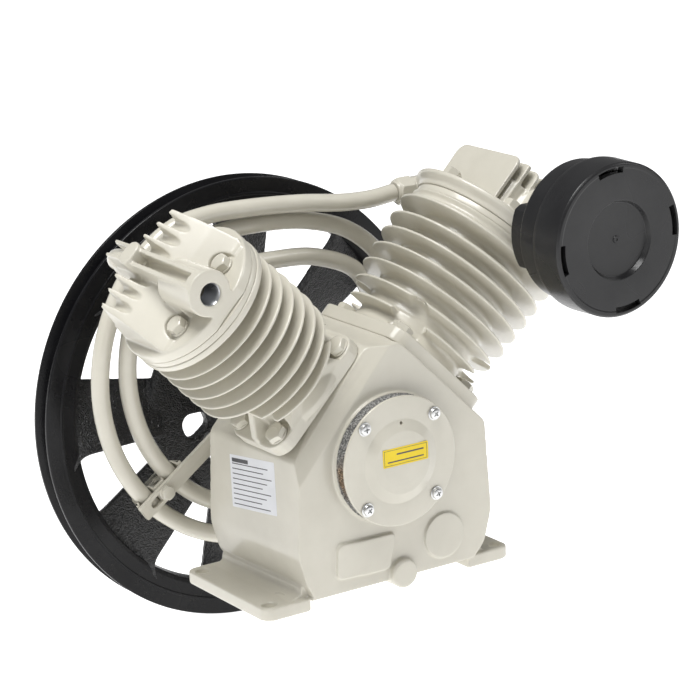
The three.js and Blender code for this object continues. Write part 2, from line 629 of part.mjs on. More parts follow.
// ---------------------------------------------------------------- pistons, wrist pins and rods
// Height of a bank's wrist pin above the crank axis with the crankpin straight up.
const WRIST_L = STROKE_R * S + Math.sqrt(ROD_LENGTH ** 2 - (STROKE_R * S) ** 2);
const CROWN = 46;                      // wrist pin to piston crown
const SKIRT = 22;

function piston(bank) {
  const r = bank.bore - 0.25;
  const wall = bank === LARGE ? 5 : 3.5;
  const top = WRIST_L + CROWN;
  const grooves = [9].flatMap((d) => [[r, top - d + 1.5], [r - 1.6, top - d + 1.5], [r - 1.6, top - d - 1.5],
    [r, top - d - 1.5]]);
  const outside = [[0, top], [r - 0.6, top], ...grooves, [r, WRIST_L - SKIRT], [0, WRIST_L - SKIRT]];
  const hollow = rodZ(r - wall, 0, 0, WRIST_L - SKIRT - 5, top - 22, SHAFT_FACETS);
  const boss = rodY(bank.pinR + 4, 0, WRIST_L, -r + 1, r - 1, 16);
  const gap = box(-30, 30, -9, 9, WRIST_L - 30, top - 22);
  const bosses = boss.intersect(rodZ(r - 1, 0, 0, WRIST_L - 30, WRIST_L + 30, 32)).subtract(gap);
  const shell = join(cut(turnedZ(outside, SHAFT_FACETS), hollow), bosses);
  return cut(shell, rodY(bank.pinR + 0.15, 0, WRIST_L, -r - 5, r + 5, 20));
}

// The big end is an open arch, wide enough to stand clear of the crankpin's whole circle at bottom
// dead centre, so that piston and crank can each be moved alone.
const ARCH_R = [28.5, 34.5];
const ARCH_L = WRIST_L - ROD_LENGTH + STROKE_R;

function connectingRod(bank) {
  const eyeR = bank.pinR + 5;
  const low = ARCH_L + ARCH_R[1] - 3;
  const arch = cut(
    rodY(ARCH_R[1], 0, ARCH_L, -8, 8, 32),
    rodY(ARCH_R[0], 0, ARCH_L, -12, 12, 32),
    box(-60, 60, -12, 12, ARCH_L - 60, ARCH_L),
  );
  const shank = outline([[-11, low, 1], [11, low, 1], [7, low + 18, 6], [6, WRIST_L - 4], [-6, WRIST_L - 4],
    [-7, low + 18, 6]]);
  return cut(
    join(arch, prismY(shank, -8, 8), rodY(eyeR, 0, WRIST_L, -8, 8, 20)),
    rodY(bank.pinR + 0.15, 0, WRIST_L, -12, 12, 20),
  );
}

// ---------------------------------------------------------------- intake filter
const FILTER_X = PORT_L * S;
const FILTER_Z = CRANK_Z + PORT_L * S;

function filterBody() {
  const [front, back] = FILTER_Y;
  const lug = outline([[-54, -27, 10], [54, -27, 10], [54, 27, 10], [-54, 27, 10]]);
  const lugSolid = prismY(lug, back - 4, -83).intersect(rodY(54, 0, 0, back - 10, -70, 40));
  const placedLug = solid(geometryOf(lugSolid).translate(FILTER_X, 0, FILTER_Z - 3));
  const cup = cut(
    turnedY([[0, front], [FILTER_R - 3, front], [FILTER_R, -124], [FILTER_R, back - 3], [FILTER_R - 4,
      back], [0, back]],
      FILTER_X, FILTER_Z, 44),
    rodY(FILTER_R - 6, FILTER_X, FILTER_Z, front - 5, back - 4, 40),
  );
  return cut(
    join(cup, placedLug, rodY(26, FILTER_X, FILTER_Z, back - 4, -77.8, 28)),
    rodY(19, FILTER_X, FILTER_Z, front, -60, 28),
  );
}

function filterElement() {
  return cut(
    rodY(FILTER_R - 9, FILTER_X, FILTER_Z, FILTER_Y[0] + 2, FILTER_Y[1] - 4 - GAP, 32),
    rodY(27, FILTER_X, FILTER_Z, FILTER_Y[0] - 5, FILTER_Y[1] + 5, 28),
  );
}

function filterCap() {
  const [face, edge] = CAP_Y;
  let body = turnedY([[0, face], [CAP_R - 1.6, face], [CAP_R, face + 1.6], [CAP_R, edge], [0, edge]],
    FILTER_X, FILTER_Z, 56);
  body = cut(
    body,
    rodY(CAP_R - 2.6, FILTER_X, FILTER_Z, face + 4.5, edge + 5, 52),
    rodY([33.5, 32], FILTER_X, FILTER_Z, face - 1, face + 2.2, 40),
  );
  // four intake slots just inside the rim
  for (let i = 0; i < 4; i += 1) {
    const turn = THREE.MathUtils.degToRad(90 * i + 8);
    const slot = prismY(outline([[56.5, -12.5], [61.2, -12.5], [61.2, 12.5], [56.5, 12.5]]), face - 3,
      face + 8);
    body = cut(body, solid(geometryOf(slot).rotateY(-turn).translate(FILTER_X, 0, FILTER_Z)));
  }
  return body;
}

// ---------------------------------------------------------------- intercooler
const LARGE_OUTLET = new THREE.Vector3((PORT_L + LARGE_OUTLET_U) * S, LARGE.y + LARGE_OUTLET_Y,
  CRANK_Z + (PORT_L - LARGE_OUTLET_U) * S);
const SMALL_INLET = new THREE.Vector3(-PORT_L * S, SMALL.y + 62, CRANK_Z + PORT_L * S);
const ELBOW_Y = 95.5;
const NUT_X = 124;

// The tube's centre line, from the large head's outlet elbow, twice round behind the crankcase, to the
// small head's inlet: the first turn is the outer one.
function tubeRoute() {
  const outer = { x: -15.3, z: 165.2, r: 156 };
  const inner = { x: -3.2, z: 174.4, r: 141.2 };
  const around = (ring, degrees) => {
    const a = THREE.MathUtils.degToRad(degrees);
    return new THREE.Vector3(ring.x + ring.r * Math.cos(a), COIL_Y, ring.z + ring.r * Math.sin(a));
  };
  const at = (x, y, z) => new THREE.Vector3(x, y, z);
  return [
    at(NUT_X - 1, ELBOW_Y, LARGE_OUTLET.z - 1), at(100, 95.5, 295.4), at(72, 97.5, 296), at(28, 100,
    301.5), at(-24, 104, 304.5),
    at(-62, 108, 303.5), at(-93, 111, 296.5), ...[140, 160, 180, 200, 220, 240,
    256].map((a) => around(outer, a)),
    at(-16, 112, 10.5), at(38, 112, 16), at(88, 112, 44), at(122, 112, 88), at(135, 112, 140), at(133,
    111, 190),
    at(119, 110, 234), at(86, 110, 266), at(39, 110, 283), at(-16, 111, 287.5), at(-62, 112, 283),
    ...[138, 158, 180, 202, 222, 242].map((a) => around(inner, a)),
    at(-6, 112, 34), at(46, 112, 45), at(86, 112, 82), at(107, 111, 130), at(109, 110, 182), at(91, 109, 228),
    at(48, 108, 249), at(-6, 101, 256), at(-58, 92, 258), at(-104, 87, 266), at(-140, 86, 279), at(-163,
    80, 288),
    at(SMALL_INLET.x, 66, SMALL_INLET.z), at(SMALL_INLET.x, SMALL_INLET.y + 12, SMALL_INLET.z),
  ];
}

function intercoolerTube() {
  const sides = Array.from({ length: 8 }, (_, i) => {
    const angle = (i * Math.PI) / 4;
    return new THREE.Vector2(TUBE_R * Math.cos(angle), TUBE_R * Math.sin(angle));
  });
  const path = new THREE.CatmullRomCurve3(tubeRoute(), false, 'centripetal');
  return solid(new THREE.ExtrudeGeometry(new THREE.Shape(sides), { steps: 66, extrudePath: path }));
}

function largeOutletElbow() {
  const { x, y, z } = LARGE_OUTLET;
  const corner = new THREE.SphereGeometry(11.6, 16, 12).translate(x, ELBOW_Y, z);
  return cut(
    join(
      rodY(11.6, x, z, y + GAP, ELBOW_Y, 16),
      solid(corner),
      rodX(11, ELBOW_Y, z - 1, 136, x, 16),
      rodX(13, ELBOW_Y, z - 1, NUT_X + 4, 140, 6),
      rodX(10, ELBOW_Y, z - 1, NUT_X, NUT_X + 5, 16),
    ),
    rodX(6, ELBOW_Y, z - 1, NUT_X - 5, x - 2, 12),
  );
}

function smallInletNut() {
  const { x, y, z } = SMALL_INLET;
  const end = y + 12 - GAP;
  return cut(
    join(rodY(12, x, z, y + GAP, y + 5, 16), rodY(12.5, x, z, y + 3, end - 2, 6), rodY(9.5, x, z, end - 3,
      end, 16)),
    rodY(6, x, z, y - 3, end + 3, 12),
  );
}

// ---------------------------------------------------------------- tube bracket and clip
// The bar runs down and outwards from a post on the rear wall, in front of both turns of the tube.
const BRACKET = { foot: new THREE.Vector2(-70, 106.3), slope: 215.2, y0: 99.6, y1: 103.6, half: 7,
  length: 89.5 };
const CLIP_AT = 61.5;

// A solid made along +X at the origin, turned onto the bar's line.
function onBar(body) {
  const geometry = geometryOf(body).rotateY(THREE.MathUtils.degToRad(-BRACKET.slope));
  return solid(geometry.translate(BRACKET.foot.x, 0, BRACKET.foot.y));
}

function tubeBracket() {
  const { half, length, y0, y1 } = BRACKET;
  const bar = outline([[-12, -half, 5], [length, -half, 1], [length, half, 1], [-12, half, 5]]);
  const slot = outline([[CLIP_AT - 6, -3.8, 3], [CLIP_AT + 17, -3.8, 3], [CLIP_AT + 17, 3.8, 3],
    [CLIP_AT - 6, 3.8, 3]]);
  return onBar(cut(prismY(bar, y0, y1), prismY(slot, y0 - 2, y1 + 2), rodY(3.4, 0, 0, y0 - 2, y1 + 2, 12)));
}

function tubeClip() {
  const back = COIL_Y + TUBE_R + GAP;
  const low = CLIP_AT - 28;
  const high = CLIP_AT + 27;
  return onBar(cut(
    join(
      box(low, high, back, back + 2.5, -9, 9),
      box(low, low + 2.5, BRACKET.y1 + 1, back + 1, -9, 9),
      box(high - 2.5, high, BRACKET.y1 + 1, back + 1, -9, 9),
    ),
    rodY(3.5, CLIP_AT, 0, back - 3, back + 6, 12),
  ));
}

function clipBolt() {
  const back = COIL_Y + TUBE_R + GAP + 2.5 + GAP;
  return onBar(join(
    rodY(3.1, CLIP_AT, 0, BRACKET.y0 - 9, back + 1, 12),
    rodY(6.4, CLIP_AT, 0, BRACKET.y0 - 5.4, BRACKET.y0 - GAP - 1, 6),
    rodY(7.4, CLIP_AT, 0, BRACKET.y0 - GAP - 1.2, BRACKET.y0 - GAP, 16),
    rodY(6.4, CLIP_AT, 0, back, back + 4, 6),
  ));
}

// ---------------------------------------------------------------- assembly
add(pump, 'crankcase', crankcase(), castPaint());
add(pump, 'breather_ring', breatherRing(), greyFelt());
add(pump, 'front_cover', frontCover(), castPaint());
corners(COVER_SCREW_R * S, COVER_SCREW_R * S).forEach(([x, z], i) => {
  add(pump, `cover_screw_${i + 1}`, coverScrew(x, CRANK_Z + z), zincSteel());
});

add(pump, 'bearing_carrier', bearingCarrier(), castPaint());
corners(CARRIER_BOLT_R * S, CARRIER_BOLT_R * S).forEach(([x, z], i) => {
  const bolt = hexBoltY(x, CRANK_Z + z, CASE_BACK + 9 + GAP, 3.6, 17, 13, 7, 1);
  add(pump, `carrier_bolt_${i + 1}`, bolt, zincSteel());
});
add(pump, 'front_bearing', ring(BEARING_R, SHAFT_R + GAP, FRONT_BEARING_Y,
  FRONT_BEARING_Y + BEARING_WIDTH), bareSteel());
add(pump, 'rear_bearing', ring(BEARING_R, SHAFT_R + GAP, REAR_BEARING_Y, REAR_BEARING_Y + BEARING_WIDTH),
  bareSteel());
add(pump, 'shaft_seal', ring(BEARING_R, SHAFT_R + GAP, REAR_BEARING_Y + BEARING_WIDTH + GAP,
  CARRIER_END - 0.5), blackRubber());

add(pump, 'crankshaft', crankshaft(), bareSteel());
add(pump, 'crankpin_bolt', hexBoltY(0, CRANK_Z + STROKE_R, PIN_END - GAP, 3.6, 18, 13, 6, -1), zincSteel());
add(pump, 'flywheel', flywheel(), blackPaint());
add(pump, 'flywheel_key', box(-KEY.half, KEY.half, KEY.y0, KEY.y1, CRANK_Z + KEY.low, CRANK_Z + KEY.high),
  bareSteel());
add(pump, 'flywheel_bolt', hexBoltY(0, CRANK_Z, SHAFT_END + GAP, 5.2, 24, 24, 11, 1), zincSteel());

for (const [prefix, bank, group] of [['large', LARGE, largeGroup], ['small', SMALL, smallGroup]]) {
  add(group, `${prefix}_cylinder`, barrel(bank), castPaint());
  corners(bank.boltU, bank.boltY).forEach(([u, y], i) => {
    const bolt = hexBolt(u, y, FLANGE_TOP + 1 + GAP, 4.5, 24, 17, 7);
    add(group, `${prefix}_base_bolt_${i + 1}`, bolt, castPaint());
  });
  add(group, `${prefix}_valve_plate`, valvePlate(bank), bareSteel());
  add(group, `${prefix}_head`, bank === LARGE ? largeHead() : smallHead(), castPaint());
  const seat = (bank === LARGE ? LARGE_HEAD_TOP : SMALL_HEAD_TOP) + GAP;
  headBoltPlaces(bank).forEach(([u, y], i) => {
    add(group, `${prefix}_head_bolt_${i + 1}`, hexBolt(u, y, seat, 3.6, 30, 14.4, 9), castPaint());
  });
  add(group, `${prefix}_piston`, piston(bank), aluminium());
  const pinReach = bank.bore - 3;
  add(group, `${prefix}_wrist_pin`, rodY(bank.pinR, 0, WRIST_L, -pinReach, pinReach, 20), bareSteel());
  add(group, `${prefix}_rod`, connectingRod(bank), aluminium());
}

add(pump, 'filter_body', filterBody(), blackPlastic());
add(pump, 'filter_element', filterElement(), filterPaper());
add(pump, 'filter_cap', filterCap(), blackPlastic());

add(pump, 'intercooler_tube', intercoolerTube(), tubePaint());
add(pump, 'large_outlet_elbow', largeOutletElbow(), tubePaint());
add(pump, 'small_inlet_nut', smallInletNut(), tubePaint());
add(pump, 'tube_bracket', tubeBracket(), castPaint());
add(pump, 'tube_clip', tubeClip(), castPaint());
add(pump, 'clip_bolt', clipBolt(), castPaint());
add(pump, 'bracket_bolt', hexBoltY(BRACKET.foot.x, BRACKET.foot.y, BRACKET.y1 + GAP, 2.6, 20, 12, 6, 1),
  zincSteel());

export default pump;
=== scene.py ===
"""Two-stage V-twin compressor pump: cream cast crankcase, cylinders and heads, black fan flywheel,
wound intercooler tube and round black intake filter, on a pale studio floor."""
import json
import random
from math import atan2, cos, pi, radians, sin, sqrt, tan

import bmesh
import bpy
from mathutils import Matrix, Vector, noise

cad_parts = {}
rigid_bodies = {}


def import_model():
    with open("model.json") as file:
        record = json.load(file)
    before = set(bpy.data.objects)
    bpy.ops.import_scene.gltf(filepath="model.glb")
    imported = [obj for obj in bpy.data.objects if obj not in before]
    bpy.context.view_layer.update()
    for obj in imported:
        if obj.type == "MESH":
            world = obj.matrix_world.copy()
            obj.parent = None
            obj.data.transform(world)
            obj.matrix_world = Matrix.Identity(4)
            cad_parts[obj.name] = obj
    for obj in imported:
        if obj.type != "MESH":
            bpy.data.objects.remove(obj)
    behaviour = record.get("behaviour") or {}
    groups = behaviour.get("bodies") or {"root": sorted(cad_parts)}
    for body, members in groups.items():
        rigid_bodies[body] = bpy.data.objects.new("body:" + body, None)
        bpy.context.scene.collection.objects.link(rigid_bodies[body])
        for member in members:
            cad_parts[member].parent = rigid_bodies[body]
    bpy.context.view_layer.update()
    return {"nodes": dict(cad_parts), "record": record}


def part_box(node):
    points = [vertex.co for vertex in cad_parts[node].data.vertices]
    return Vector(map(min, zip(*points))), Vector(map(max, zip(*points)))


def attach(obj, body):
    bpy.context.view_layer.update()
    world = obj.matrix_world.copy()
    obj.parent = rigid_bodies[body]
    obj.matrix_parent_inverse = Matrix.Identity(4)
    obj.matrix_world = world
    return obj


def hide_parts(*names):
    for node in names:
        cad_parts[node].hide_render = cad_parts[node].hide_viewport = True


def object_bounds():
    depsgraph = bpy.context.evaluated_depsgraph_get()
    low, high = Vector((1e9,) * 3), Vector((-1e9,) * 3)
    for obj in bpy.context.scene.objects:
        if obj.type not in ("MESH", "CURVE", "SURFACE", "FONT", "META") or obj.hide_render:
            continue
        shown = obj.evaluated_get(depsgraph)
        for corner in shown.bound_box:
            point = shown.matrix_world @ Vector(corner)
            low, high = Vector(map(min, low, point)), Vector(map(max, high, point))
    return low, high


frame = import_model()
scene = bpy.context.scene
MM = 0.001
S = sqrt(0.5)  # sine and cosine of 45 degrees


def at(x, y, z):
    return Matrix.Translation((x, y, z))


def spun(degrees, axis):
    return Matrix.Rotation(radians(degrees), 4, axis)


# -------- places and sizes in mm, the outer ones taken from the frame
def node_box(node):
    low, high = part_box(node)
    return Vector(low) / MM, Vector(high) / MM


joints = {j["name"]: j for j in frame["record"]["behaviour"]["joints"]}
CRANK_Z = joints["crank_spin"]["pos_m"][2] / MM
ROOT, CRANK = joints["crank_spin"]["parent"], joints["crank_spin"]["child"]

wheel_low, wheel_high = node_box("flywheel")
RIM_R = (wheel_high.x - wheel_low.x) / 2
RIM_Y = (159.8, 183.9)  # front and back of the rim
RIM_INNER_R = 170
HUB_Y = (wheel_low.y, wheel_high.y)
BLADES = 8
BLADE_PHASE = -4  # degrees

cover_low, cover_high = node_box("front_cover")
COVER_R = (cover_high.x - cover_low.x) / 2
COVER_BACK = cover_high.y
COVER_FACE = cover_low.y + 3.3  # the flat border that the screws sit on
COVER_PLATEAU = cover_low.y - 1.2  # the raised middle
SCREW_R = 49

CASE_FRONT, CASE_BACK = -66, 66
CARRIER_BACK = CASE_BACK + 9  # where the carrier bolts sit
FOOT_HOLES = [(x, y) for x in (-115.4, 115.4) for y in (-51.4, 54.15)]
BAR_FOOT = Vector((-70, 0, 106.3))        # where the tube's bracket is bolted on
BAR_Y = (99.6, 103.6)  # front and back of the bracket
GAP = 0.3  # left open between pieces that touch

# heights along a cylinder's own axis, from the crank
DECK = 78
FLANGE_TOP = 91
BARREL_TOP = 212
PLATE_TOP = 218
PORT_L = 243.5

# each bank: lean in degrees, place along the shaft, radii of bore, barrel and top, half sizes of the
# flange and of its bolts' pattern, and the fins as (height, radius)
LARGE = {
    "tilt": 45, "y": 3, "bore": 45, "barrel": 50.5, "flange": (57.5, 61), "bolts": (43, 41), "top": 70,
    "fins": [(105.5, 66), (121.5, 70), (137.5, 72.5), (153.5, 73.5), (169.2, 74.7), (184.3, 75.6)],
    "head_bolts": 6, "head_bolt_r": 63, "head_bolt_turn": 0, "head_top": 229.7,
}
SMALL = {
    "tilt": -45, "y": -19.9, "bore": 25, "barrel": 38, "flange": (57, 38), "bolts": (43.6, 27), "top": 63.5,
    "fins": [(110.5, 57.5), (123.7, 61.5), (137.7, 63), (151.7, 63), (165.7, 63), (179.5, 62.5), (192.6, 62)],
    "head_bolts": 4, "head_bolt_r": 42.8, "head_bolt_turn": 45, "head_top": 227.8,
}
BANKS = {"large": LARGE, "small": SMALL}
for bank in BANKS.values():
    bank["frame"] = at(0, bank["y"], CRANK_Z) @ spun(bank["tilt"], "Y")

OUTLET_U = -12                            # the large head's outlet, beside its axis
SMALL_PORT_FACE = -60.6  # front of the small head's boss
cap_low, cap_high = node_box("filter_cap")
FILTER_X = (cap_low.x + cap_high.x) / 2
FILTER_Z = (cap_low.z + cap_high.z) / 2
CAP_R = (cap_high.x - cap_low.x) / 2
CAP_Y = (cap_low.y, cap_high.y)
FILTER_BACK = -100  # back of the filter's cup

TO_Y = Matrix(((1, 0, 0, 0), (0, 0, 1, 0), (0, 1, 0, 0), (0, 0, 0, 1)))  # (a, b, h) -> (a, h, b)
TO_X = Matrix(((0, 0, 1, 0), (1, 0, 0, 0), (0, 1, 0, 0), (0, 0, 0, 1)))  # (a, b, h) -> (h, a, b)


# -------- materials
class Nodes:
    """A principled material whose colour, roughness and relief come from procedural textures."""

    def __init__(self, name):
        self.material = bpy.data.materials.new(name)
        self.material.use_nodes = True
        self.tree = self.material.node_tree
        self.shader = self.tree.nodes["Principled BSDF"]
        self.place = self.tree.nodes.new("ShaderNodeTexCoord").outputs["Object"]

    def noise(self, scale, detail=3, rough=0.55, place=None):
        n = self.tree.nodes.new("ShaderNodeTexNoise")
        n.inputs["Scale"].default_value = scale
        n.inputs["Detail"].default_value = detail
        n.inputs["Roughness"].default_value = rough
        self.tree.links.new(place or self.place, n.inputs["Vector"])
        return n.outputs["Fac"]

    def ramp(self, value, *stops):
        n = self.tree.nodes.new("ShaderNodeValToRGB")
        while len(n.color_ramp.elements) < len(stops):
            n.color_ramp.elements.new(0.5)
        for element, (position, colour) in zip(n.color_ramp.elements, stops):
            element.position = position
            element.color = (*colour, 1)
        self.tree.links.new(value, n.inputs["Fac"])
        return n.outputs["Color"]

    def spread(self, value, low, high):
        n = self.tree.nodes.new("ShaderNodeMapRange")
        n.inputs["From Min"].default_value = 0.25
        n.inputs["From Max"].default_value = 0.75
        n.inputs["To Min"].default_value = low
        n.inputs["To Max"].default_value = high
        self.tree.links.new(value, n.inputs["Value"])
        return n.outputs["Result"]

    def stretched(self, scale):
        n = self.tree.nodes.new("ShaderNodeMapping")
        n.inputs["Scale"].default_value = scale
        self.tree.links.new(self.place, n.inputs["Vector"])
        return n.outputs["Vector"]

    def bump(self, height, depth, below=None):
        n = self.tree.nodes.new("ShaderNodeBump")
        n.inputs["Distance"].default_value = depth
        self.tree.links.new(height, n.inputs["Height"])
        if below:
            self.tree.links.new(below, n.inputs["Normal"])
        return n.outputs["Normal"]

    def set(self, socket, value):
        if isinstance(value, bpy.types.NodeSocket):
            self.tree.links.new(value, self.shader.inputs[socket])
        else:
            self.shader.inputs[socket].default_value = value


def coating(name, dark, light, rough, relief, metallic=0.0, coat=0.0, shine=0.5):
    """Paint, plastic or metal: relief is a list of (cells per metre, depth in metres)."""
    m = Nodes(name)
    m.set("Base Color", m.ramp(m.noise(28, 4, 0.6), (0.3, dark), (0.7, light)))
    m.set("Roughness", m.spread(m.noise(14, 1), *rough))
    m.set("Metallic", metallic)
    m.set("Specular IOR Level", shine)
    m.set("Coat Weight", coat)
    m.set("Coat Roughness", 0.12)
    below = None
    for cells, depth in relief:
        below = m.bump(m.noise(cells, 0), depth, below=below)
    m.set("Normal", below)
    return m.material


CREAM = ((0.565, 0.540, 0.462), (0.610, 0.585, 0.505))
# dark and light colour, lowest and highest roughness, relief, metallic, coat, shine
COATINGS = {
    "cast_paint": (*CREAM, (0.27, 0.33), [(30, 0.00020), (110, 0.00003)], 0, 0.3),
    "bolt_paint": (*CREAM, (0.20, 0.30), [(120, 0.00005)], 0, 0.35),
    "tube_paint": (*CREAM, (0.18, 0.24), [(50, 0.00008)], 0, 0.35),
    "black_paint": ((0.004, 0.004, 0.005), (0.009, 0.009, 0.010), (0.20, 0.32),
                    [(60, 0.00015), (700, 0.00008)], 0, 0, 0.22),
    "rough_black_paint": ((0.007, 0.007, 0.008), (0.018, 0.018, 0.019), (0.26, 0.38),
                          [(300, 0.0010), (750, 0.0013)]),
    "black_plastic": ((0.012, 0.012, 0.013), (0.019, 0.019, 0.020), (0.24, 0.34),
                      [(40, 0.00012), (1400, 0.00002)], 0, 0, 0.4),
    "zinc_steel": ((0.58, 0.59, 0.60), (0.74, 0.74, 0.73), (0.22, 0.40), [(900, 0.00004)], 1),
    "bare_steel": ((0.38, 0.39, 0.41), (0.52, 0.53, 0.55), (0.24, 0.40), [(700, 0.00004)], 1),
    "aluminium": ((0.62, 0.63, 0.64), (0.76, 0.76, 0.76), (0.28, 0.44), [(500, 0.00005)], 1),
    "filter_paper": ((0.58, 0.50, 0.32), (0.68, 0.60, 0.42), (0.8, 0.95), [(900, 0.0001)]),
    "black_rubber": ((0.012, 0.012, 0.012), (0.022, 0.022, 0.022), (0.6, 0.8), [(700, 0.00008)]),
    "white_label": ((0.70, 0.71, 0.74), (0.78, 0.79, 0.82), (0.30, 0.42), [(120, 0.00003)]),
    "yellow_label": ((0.76, 0.56, 0.004), (0.84, 0.63, 0.008), (0.28, 0.4), [(120, 0.00003)]),
    "label_ink": ((0.05, 0.05, 0.055), (0.09, 0.09, 0.10), (0.35, 0.5), [(120, 0.00002)]),
}
MATERIALS = {name: coating(name, *row) for name, row in COATINGS.items()}


def felt():
    """Matted grey fibres with rusty brown patches."""
    m = Nodes("grey_felt")
    fibres = m.noise(900, 4, 0.75, place=m.stretched((1.0, 0.45, 1.0)))
    strands = m.ramp(fibres, (0.34, (0.02, 0.02, 0.02)), (0.50, (0.16, 0.16, 0.155)),
                     (0.66, (0.62, 0.61, 0.59)))
    patches = m.ramp(m.noise(22, 3), (0.57, (1, 1, 1)), (0.66, (1.0, 0.70, 0.45)))
    mix = m.tree.nodes.new("ShaderNodeMix")
    mix.data_type = "RGBA"
    mix.blend_type = "MULTIPLY"
    mix.inputs["Factor"].default_value = 1.0
    m.tree.links.new(strands, mix.inputs["A"])
    m.tree.links.new(patches, mix.inputs["B"])
    m.set("Base Color", mix.outputs["Result"])
    m.set("Roughness", m.spread(fibres, 0.85, 1.0))
    m.set("Normal", m.bump(fibres, 0.0012))
    return m.material


MATERIALS["grey_felt"] = felt()

# -------- mesh kit
PLUS, MINUS, BOTH = "UNION", "DIFFERENCE", "INTERSECT"
scratch = bpy.data.collections.new("scratch")
scene.collection.children.link(scratch)


def rounded(points, steps=5, closed=True):
    """An outline of corner points (a, b, radius), each corner turned into an arc."""
    out = []
    count = len(points)
    for i, point in enumerate(points):
        corner = Vector(point[:2])
        radius = point[2] if len(point) > 2 else 0
        if radius <= 0 or (not closed and i in (0, count - 1)):
            out.append(corner)
            continue
        before = Vector(points[i - 1][:2]) - corner
        after = Vector(points[(i + 1) % count][:2]) - corner
        half = before.angle(after) / 2
        if half > radians(89):
            out.append(corner)
            continue
        reach = min(radius / tan(half), before.length * 0.49, after.length * 0.49)
        radius = reach * tan(half)
        middle = (before.normalized() + after.normalized()).normalized()
        centre = corner + middle * (radius / sin(half))
        start = corner + before.normalized() * reach - centre
        end = corner + after.normalized() * reach - centre
        for k in range(steps + 1):
            blend = start.lerp(end, k / steps)
            out.append(centre + blend.normalized() * radius)
    return out


def bent(points, steps=5):
    """The same for an open line, whose two ends stay as they are."""
    return rounded(points, steps, closed=False)


def arc(r, start, end, steps, a=0, b=0):
    """Points on a circle about (a, b), from one angle to another in degrees."""
    angles = [radians(start + (end - start) * k / steps) for k in range(steps + 1)]
    return [(a + r * cos(angle), b + r * sin(angle)) for angle in angles]


def hexagon(across):
    return arc(across / sqrt(3), 0, 300, 5)


def closed_out(bm, matrix=None):
    """Moves a new mesh into place, welds it and turns its faces outwards."""
    if matrix:
        bmesh.ops.transform(bm, matrix=matrix, verts=bm.verts)
    bmesh.ops.remove_doubles(bm, verts=bm.verts, dist=1e-4)
    bmesh.ops.recalc_face_normals(bm, faces=bm.faces)
    return bm


def lathe(profile, segments=96, matrix=None):
    """A turned solid about Z; profile is (radius, height) points that start and end on the axis."""
    bm = bmesh.new()
    turns = [(cos(a), sin(a)) for a in (2 * pi * k / segments for k in range(segments))]
    rings = []
    for r, h in profile:
        ring = [(0, 0, h)] if r < 1e-6 else [(r * c, r * s, h) for c, s in turns]
        rings.append([bm.verts.new(place) for place in ring])
    for low, high in zip(rings, rings[1:]):
        for k in range(segments):
            j = (k + 1) % segments
            if len(low) == 1 and len(high) > 1:
                bm.faces.new((low[0], high[j], high[k]))
            elif len(high) == 1 and len(low) > 1:
                bm.faces.new((low[k], low[j], high[0]))
            elif len(low) > 1:
                bm.faces.new((low[k], low[j], high[j], high[k]))
    return closed_out(bm, matrix)


def lathe_y(profile, x=0, z=CRANK_Z, segments=96):
    return lathe(profile, segments, at(x, 0, z) @ TO_Y)


def rod(r, low, high, segments=48, matrix=None):
    return lathe([(0, low), (r, low), (r, high), (0, high)], segments, matrix)


def taper_y(r0, r1, y0, y1, x=0, z=CRANK_Z, segments=96):
    """A cone's frustum along Y, from radius r0 at y0 to r1 at y1."""
    return lathe_y([(0, y0), (r0, y0), (r1, y1), (0, y1)], x, z, segments)


def rod_y(r, y0, y1, x=0, z=CRANK_Z, segments=96):
    return taper_y(r, r, y0, y1, x, z, segments)


def rod_z(r, x, y, z0, z1, segments=40):
    return rod(r, z0, z1, segments, at(x, y, 0))


def capsule(r, x, y, low, high):
    """A round bar along Z with a domed top that starts at height high."""
    profile = [(0, low), (r, low), *arc(r, 0, 75, 5, 0, high), (0, high + r)]
    return lathe(profile, 32, at(x, y, 0))


def skin(loops, closed=False, matrix=None):
    """A solid through loops of points, joined end to end if closed, or else with both ends capped."""
    bm = bmesh.new()
    rings = [[bm.verts.new(place) for place in loop] for loop in loops]
    for low, high in zip(rings, rings[1:] + rings[:1] if closed else rings[1:]):
        for k in range(len(low)):
            j = (k + 1) % len(low)
            bm.faces.new((low[k], low[j], high[j], high[k]))
    if not closed:
        bm.faces.new(list(reversed(rings[0])))
        bm.faces.new(rings[-1])
    return closed_out(bm, matrix)


def prism(outline, low, high, matrix=None, bevel=0.0):
    """A solid with that outline in the first two axes, its rims rounded by bevel."""
    bm = bmesh.new()
    floor = [bm.verts.new((p[0], p[1], low)) for p in outline]
    roof = [bm.verts.new((p[0], p[1], high)) for p in outline]
    bm.faces.new(list(reversed(floor)))
    bm.faces.new(roof)
    for k in range(len(outline)):
        j = (k + 1) % len(outline)
        bm.faces.new((floor[k], floor[j], roof[j], roof[k]))
    if bevel:
        rims = [e for e in bm.edges if abs(e.verts[0].co.z - e.verts[1].co.z) < 1e-6]
        bmesh.ops.bevel(bm, geom=rims, offset=bevel, segments=4, affect="EDGES", profile=0.5)
    return closed_out(bm, matrix)


def box(low, high, matrix=None):
    outline = [(low[0], low[1]), (high[0], low[1]), (high[0], high[1]), (low[0], high[1])]
    return prism(outline, low[2], high[2], matrix)


def plate(half_a, half_b, radius):
    return rounded([(-half_a, -half_b, radius), (half_a, -half_b, radius), (half_a, half_b, radius),
                    (-half_a, half_b, radius)])


def moved(bm, matrix):
    bmesh.ops.transform(bm, matrix=matrix, verts=bm.verts)
    bmesh.ops.recalc_face_normals(bm, faces=bm.faces)
    return bm


def held(bm):
    mesh = bpy.data.meshes.new("scratch_mesh")
    bm.to_mesh(mesh)
    bm.free()
    obj = bpy.data.objects.new("scratch_mesh", mesh)
    scratch.objects.link(obj)
    return obj


